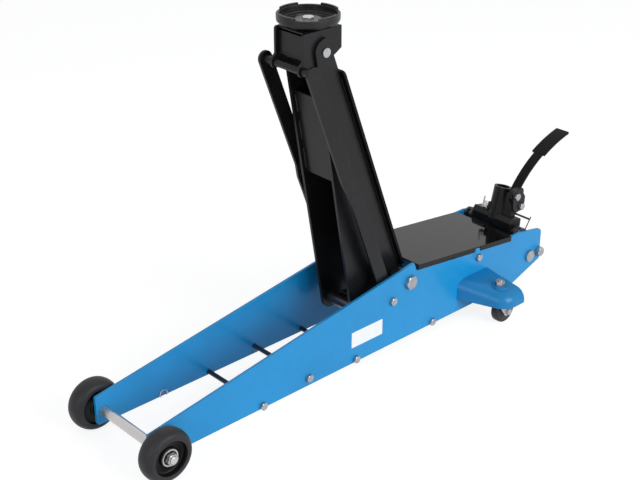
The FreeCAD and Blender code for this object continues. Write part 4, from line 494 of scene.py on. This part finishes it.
# Pedal: a bar bent along a curve with a wider tread, and its foot on the bracket. The plate of the bracket
# is held from the socket by a web, whose corners are (across, up) on the yoke's lean. A lug carries the
# spring rod. The pairs are each piece's sides along Y.
pedal = dict(line=[(487.0, 234.0), (517.0, 268.0), (554.0, 298.5), (602.0, 323.5), (659.5, 342.0)],
             steps=60, round=1.2, bar=(-53.0, -28.5), half=2.6, tread=(-58.0, -21.0), treadHalf=3.1,
             treadStart=0.54, foot=(-58.0, -46.0), plate=(-64.0, -58.0), web=(-46.5, -18.6),
             lug=(-31.0, -25.0),
             footCorners=[(460.5, 226, 8), (478.5, 196, 8), (500.5, 198, 8), (502.5, 248, 10),
                          (464.5, 248, 10)],
             plateCorners=[(456.5, 247, 6), (483, 251, 8), (501, 227, 8), (500, 210, 8),
                           (491, 194.5, 8), (468, 192, 8), (458, 206, 10)],
             webCorners=((-8, 22), (7, 22), (6, 89), (-8, 86)), webRadius=2,
             lugCorners=[(484, 158, 2), (496, 154, 2), (512.5, 162, 7), (512.5, 178.5, 8),
                         (494.5, 178.5, 8)])


def bentBar(name, line, half, left, right, radius):
    # a flat oblong section, half thick, carried along the line
    ahead = unit(np.gradient(line, axis=0))
    up = np.stack([-ahead[:, 1], ahead[:, 0]], -1)
    ring = roundedOutline(rectangle(left, -half, right, half, radius), 4)
    return sideways(name, line[:, None] + up[:, None] * ring[None, :, 1:], ring[None, :, 0])


def makePedal(size):
    line = smoothLine(size["line"], size["steps"])
    bar = bentBar("pedal_bar", line, size["half"], *size["bar"], size["round"])
    fit(bar, "yoke", "cast_black", "pedal_lever", finish="pedal_black_and_flange_shade")
    treadLine = line[int(len(line) * size["treadStart"]):]
    tread = bentBar("pedal_tread", treadLine, size["treadHalf"], *size["tread"], size["round"])
    fit(tread, "yoke", "cast_black", finish="pedal_black_and_flange_shade")
    fit(plate("pedal_foot", size["footCorners"], *size["foot"]), "yoke", "cast_black")
    bracketPlate = plate("bracket_plate", size["plateCorners"], *size["plate"])
    fit(bracketPlate, "yoke", "cast_black", "pedal_bracket")
    web = [(*leaned(yoke, *corner), size["webRadius"]) for corner in size["webCorners"]]
    fit(plate("bracket_web", web, *size["web"]), "yoke", "cast_black")
    fit(plate("spring_rod_lug", size["lugCorners"], *size["lug"]), "yoke", "cast_black")


makePedal(pedal)
print("pedal made")

# Wire eye: a bow of wire that lies flat on the inside of the right plate
wireEye = dict(centre=(-461.8, 29.5), radius=9.0, wire=1.4, sunk=0.1, start=-35, end=215, steps=60)


def makeEye(size):
    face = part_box("side_plate_right")[0].y / mm
    angle = np.radians(np.linspace(size["start"], size["end"], size["steps"]))
    line = np.stack([size["centre"][0] + size["radius"] * np.cos(angle),
                     np.full_like(angle, face - size["wire"] + size["sunk"]),
                     size["centre"][1] + size["radius"] * np.sin(angle)], -1)
    fit(tube("wire_bow", line, size["wire"]), "chassis", slotOf["wire_eye"], "wire_eye", finish="zinc")


makeEye(wireEye)
print("wire eye made")

# Saddle bracket: two cheeks, and between them a top, a rear and a front panel that is set back and ends
# in a bead. The round neck under the saddle is (along, radius, low, high).
bracket = dict(half=42.3, wall=6.0, sunk=0.5, radius=2,
               cheek=[(-183.4, 760.9, 6), (-183.4, 706.4, 4), (-194.7, 697.4, 8), (-194.7, 677.4, 10.5),
                      (-171.7, 677.4, 10.5), (-140.7, 694.9, 12), (-114.7, 696.9, 12), (-83.1, 715.9, 2),
                      (-83.1, 760.9, 2)],
               panels=dict(top=(-175.5, 750.9, -83.1, 760.9), front=(-175.5, 707.9, -169.5, 758.9),
                           rear=(-89.1, 717.9, -83.1, 758.9)),
               bead=(-173.0, 707.9), beadRadius=4.0, beadSteps=30, beadSides=20,
               neck=(-131.9, 34.0, 756.9, 761.6), neckSteps=72)


def makeBracket(size):
    half, wall, slot = size["half"], size["wall"], slotOf["saddle_bracket"]
    inside = half - wall + size["sunk"]
    left = plate("saddle_bracket_left", size["cheek"], -half, wall - half)
    fit(left, "saddle_carrier", slot, "saddle_bracket")
    fit(plate("saddle_bracket_right", size["cheek"], half - wall, half), "saddle_carrier", slot)
    for word, sides in size["panels"].items():
        panel = plate(f"bracket_{word}", rectangle(*sides, size["radius"]), -inside, inside)
        fit(panel, "saddle_carrier", slot)
    along, up = size["bead"]
    line = np.array([(along, side, up) for side in np.linspace(-inside, inside, size["beadSteps"])])
    bead = tube("bracket_bead", line, size["beadRadius"], sides=size["beadSides"], guide=(0, 0, 1))
    fit(bead, "saddle_carrier", slot)
    along, radius, low, high = size["neck"]
    turn, level = np.meshgrid(np.linspace(0, 2 * math.pi, size["neckSteps"], endpoint=False), [low, high])
    neck = np.stack([along + radius * np.cos(turn), radius * np.sin(turn), level], -1)
    fit(gridMesh("bracket_neck", neck, closeRound=True, closeEnds=True), "saddle_carrier", slot)


makeBracket(bracket)
print("saddle bracket made")

# Return spring: a torsion spring round the yoke's pin, with one leg behind the rear tie rod and the other
# behind the spring rod. tie and hook are the rods as seen from the pin, and past is how far a leg goes on
# behind its rod.
spring = dict(pivot=(472.5, 142.0), tie=(55.0, -58.0), tieRadius=7.0, hook=(32.0, 28.0), hookRadius=2.5,
              wire=1.3, coil=14.5, play=0.3, pitch=3.0, turns=3.0, side=-68.5, past=7.0, stepsPerTurn=40,
              legSteps=24)


def makeSpring(size):
    # coil: (cos, sin) of start + 2 pi turn, times its radius, moving out by the pitch at each turn.
    # Each leg is the line that touches the coil and passes behind its rod.
    def touch(target, radius, way):
        reach = size["coil"] - radius - size["wire"] - size["play"]
        distance = math.hypot(*target)
        return (math.atan2(target[1], target[0]) + way * math.acos(reach / distance),
                math.sqrt(distance ** 2 - reach ** 2) + size["past"])

    start, footLeg = touch(size["tie"], size["tieRadius"], 1)
    end, armLeg = touch(size["hook"], size["hookRadius"], -1)
    turns = (end - start) / (2 * math.pi) + size["turns"]
    turn = np.linspace(0, turns, round(turns * size["stepsPerTurn"]))
    angle = start + 2 * math.pi * turn
    coil = np.stack([size["coil"] * np.cos(angle), size["coil"] * np.sin(angle), size["pitch"] * turn], -1)
    leg = np.linspace(0, 1, size["legSteps"])[:, None]
    back = np.array([math.sin(start), -math.cos(start), 0.0]) * footLeg
    ahead = np.array([-math.sin(end), math.cos(end), 0.0]) * armLeg
    line = np.concatenate([coil[0] + back * (1 - leg[:-1]), coil, coil[-1] + ahead * leg[1:]])
    along, up = size["pivot"]
    line = np.stack([along + line[:, 0], size["side"] - line[:, 2], up + line[:, 1]], -1)
    piece = tube("torsion_spring", line, size["wire"])
    piece.data.materials.append(materials["spring_steel"])
    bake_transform(piece)
    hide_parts("return_spring")


makeSpring(spring)
print("return spring made")

# Weld beads: a quarter round in the corner between two plates, with a ripple for each pass of the torch.
# lag is how far the ripple's middle runs ahead, slowSteps and slow the bead's uneven width, and sunk how
# far its root lies inside the corner.
weld = dict(size=3.4, braceShare=0.8, socketSize=3.0, ripple=0.09, torchStep=1.7, lag=0.35, slow=0.06,
            slowSteps=(0.21, 0.083), slowStart=1.3, thinEnd=0.05, rowStep=0.42, sunk=0.5, steps=9,
            socketArc=(-40, 52, 1.1))
liftArm = dict(pivot=(80.5, 161.0), lift=69.2, half=49.0, inner=43.0, webFace=-16.0, web=(34.0, 528.0),
               brace=((318.7, 70.2), (499.7, 34.7)), stitches=((0.04, 0.30), (0.40, 0.64), (0.74, 0.96)))


def weldBead(name, corner, first, second, size, slot, body, finish=None):
    # section: corner + size * (cos * first + sin * second) for a quarter turn, its size waving along the
    # seam, which runs through the corner points. first and second are the ways out of the corner.
    first, second = np.broadcast_to(first, corner.shape), np.broadcast_to(second, corner.shape)
    reach = np.concatenate([[0], np.cumsum(np.linalg.norm(np.diff(corner, axis=0), axis=1))])[:, None]
    turn = np.linspace(0, math.pi / 2, weld["steps"])
    chevron = np.cos((turn - math.pi / 4) * 2)
    wave = np.sin((reach / weld["torchStep"] - weld["lag"] * chevron) * 2 * math.pi)
    slowFirst, slowSecond = weld["slowSteps"]
    slow = np.sin(reach * slowFirst + weld["slowStart"]) * 0.5 + np.sin(reach * slowSecond) * 0.5
    taper = np.clip(np.minimum(reach, reach[-1] - reach) / size, weld["thinEnd"], 1) ** 0.5
    swell = size * taper * (1 + weld["ripple"] * wave + weld["slow"] * slow)
    arc = np.cos(turn)[None, :, None] * first[:, None] + np.sin(turn)[None, :, None] * second[:, None]
    bead = corner[:, None] + swell[..., None] * arc
    root = corner - weld["sunk"] * (first + second)
    piece = gridMesh(name, np.concatenate([bead, root[:, None]], 1), closeRound=True, closeEnds=True)
    fit(piece, body, slot, finish=finish)


def onArm(out, front, side):
    # out along the arm from its pivot, front square to it towards the wheels
    lift = math.radians(liftArm["lift"])
    out, front, side = np.broadcast_arrays(np.asarray(out, float), front, side)
    return np.stack([liftArm["pivot"][0] - out * math.cos(lift) - front * math.sin(lift), side,
                     liftArm["pivot"][1] + out * math.sin(lift) - front * math.cos(lift)], -1)


def makeArmWelds(arm):
    toFront = onArm(0, 1, 0) - onArm(0, 0, 0)
    (low, lowFront), (high, highFront) = arm["brace"]
    for word, sign in bothSides:
        corner = onArm(np.arange(*arm["web"], weld["rowStep"]), arm["webFace"], sign * arm["half"])
        # the web's welds take the near black that paints the shade along the arm's top plate
        weldBead(f"web_weld_{word}", corner, (0.0, sign, 0.0), toFront, weld["size"],
                 slotOf["arm_top_plate"], "lift_arm", "pedal_black_and_flange_shade")
        for number, (start, end) in enumerate(arm["stitches"]):
            share = np.arange(start, end, weld["rowStep"] / (high - low))
            corner = onArm(low + share * (high - low), lowFront + share * (highFront - lowFront),
                           sign * arm["inner"])
            weldBead(f"brace_weld_{word}_{number}", corner, (0.0, -sign, 0.0), toFront,
                     weld["size"] * weld["braceShare"], slotOf["arm_brace_plate"], "lift_arm")


def makeSocketWelds(size):
    # an arc on each side of the socket's foot, on the block's top
    turn = math.radians(size["lean"])
    across = np.array([math.cos(turn), 0, -math.sin(turn)])
    up = np.array([math.sin(turn), 0, math.cos(turn)])
    centre = np.array([size["pivot"][0], 0.0, size["pivot"][1]]) + up * size["up"]
    angle = np.radians(np.arange(*weld["socketArc"]))[:, None]
    for word, sign in bothSides:
        outward = np.cos(angle) * np.array([0.0, sign, 0.0]) + np.sin(angle) * across
        weldBead(f"socket_weld_{word}", centre + outward * size["socket"], outward, up, weld["socketSize"],
                 "cast_black", "yoke")


makeArmWelds(liftArm)
makeSocketWelds(yoke)
print("welds made")

# Camera: the photograph's viewpoint, fitted to the straight edges of the jack
cameraView = dict(azimuth=-42.76, elevation=26.42, place=(-1.74023, -1.77247, 1.48985),
                  focalPixels=1288.9, frameWidth=640, sensor=36.0, far=60.0)


def makeCamera(view):
    lens = bpy.data.cameras.new("camera")
    lens.sensor_width = view["sensor"]
    lens.lens = view["focalPixels"] * view["sensor"] / view["frameWidth"]
    lens.clip_end = view["far"]
    camera = bpy.data.objects.new("camera", lens)
    camera.location = view["place"]
    camera.rotation_euler = (math.radians(90 - view["elevation"]), 0, math.radians(view["azimuth"]))
    bpy.context.scene.collection.objects.link(camera)
    bpy.context.scene.camera = camera


makeCamera(cameraView)

# Light: a pale room, a large soft lamp on the near side and weaker ones from the front and from above.
# openFloor is how bright the lit floor comes out, and floorShade how much of its shading the camera sees.
room = dict(strength=0.38, colour=(0.95, 0.97, 1.0, 1), floorHalf=40000.0, floorLevel=-0.4,
            floorGrey=0.86, openFloor=0.46, floorShade=0.35)
white = (1, 1, 1, 1)
lamps = {
    "key": dict(place=(0.5, -3.6, 1.7), target=(0.0, 0.0, 0.25), size=2.6, power=98.0),
    "front": dict(place=(-3.6, -0.9, 1.6), target=(-0.1, 0.0, 0.3), size=2.0, power=26.0),
    "top": dict(place=(0.4, 1.2, 3.6), target=(0.0, 0.0, 0.2), size=3.0, power=8.0),
}


def makeLamp(name, look):
    lamp = bpy.data.lights.new(name, "AREA")
    lamp.shape = "DISK"
    lamp.size = look["size"]
    lamp.energy = look["power"]
    holder = bpy.data.objects.new(name, lamp)
    holder.location = look["place"]
    aim = Vector(look["target"]) - Vector(look["place"])
    holder.rotation_euler = aim.to_track_quat("-Z", "Y").to_euler()
    bpy.context.scene.collection.objects.link(holder)


def splitByView(w, output, lit, seen):
    # seen for rays from the camera and for those mirrored or refracted on the way to it, lit for the rest
    path = w.node("ShaderNodeLightPath").outputs
    direct = w.maths("MAXIMUM", path["Is Camera Ray"],
                     w.maths("MAXIMUM", path["Is Glossy Ray"], path["Is Transmission Ray"]))
    mixed = w.node("ShaderNodeMixShader", {0: direct, 1: lit.outputs[0], 2: seen.outputs[0]})
    w.node(output, {"Surface": mixed.outputs[0]})


def makeRoom(look):
    # seen by the camera and in reflections the room is white, but it lights the jack only weakly
    world = bpy.data.worlds.new("room")
    bpy.context.scene.world = world
    world.use_nodes = True
    w = Wiring(world.node_tree)
    lit = w.node("ShaderNodeBackground", {"Color": look["colour"], "Strength": look["strength"]})
    seen = w.node("ShaderNodeBackground", {"Color": white, "Strength": 1.0})
    splitByView(w, "ShaderNodeOutputWorld", lit, seen)


def makeFloor(look):
    # the camera sees a glow that is white where the floor is lit, less the jack's soft shadow
    half, level = look["floorHalf"], look["floorLevel"]
    floor = gridMesh("floor", np.array([[(x, y, level) for x in (-half, half)] for y in (-half, half)]))
    material, w = newMaterial("pale floor")
    grey, shown = look["floorGrey"], look["floorShade"]
    lit = w.node("ShaderNodeBsdfDiffuse", {"Color": (grey, grey, grey, 1)})
    faint = w.node("ShaderNodeBsdfDiffuse", {"Color": (grey * shown, grey * shown, grey * shown, 1)})
    glow = w.node("ShaderNodeEmission", {"Color": white, "Strength": 1 - shown * look["openFloor"]})
    seen = w.node("ShaderNodeAddShader", {0: faint.outputs[0], 1: glow.outputs[0]})
    splitByView(w, "ShaderNodeOutputMaterial", lit, seen)
    floor.data.materials.append(material)


makeRoom(room)
makeFloor(room)
for lampName, lampLook in lamps.items():
    makeLamp(lampName, lampLook)
bpy.context.scene.view_settings.view_transform = "Standard"
print("stage lit")
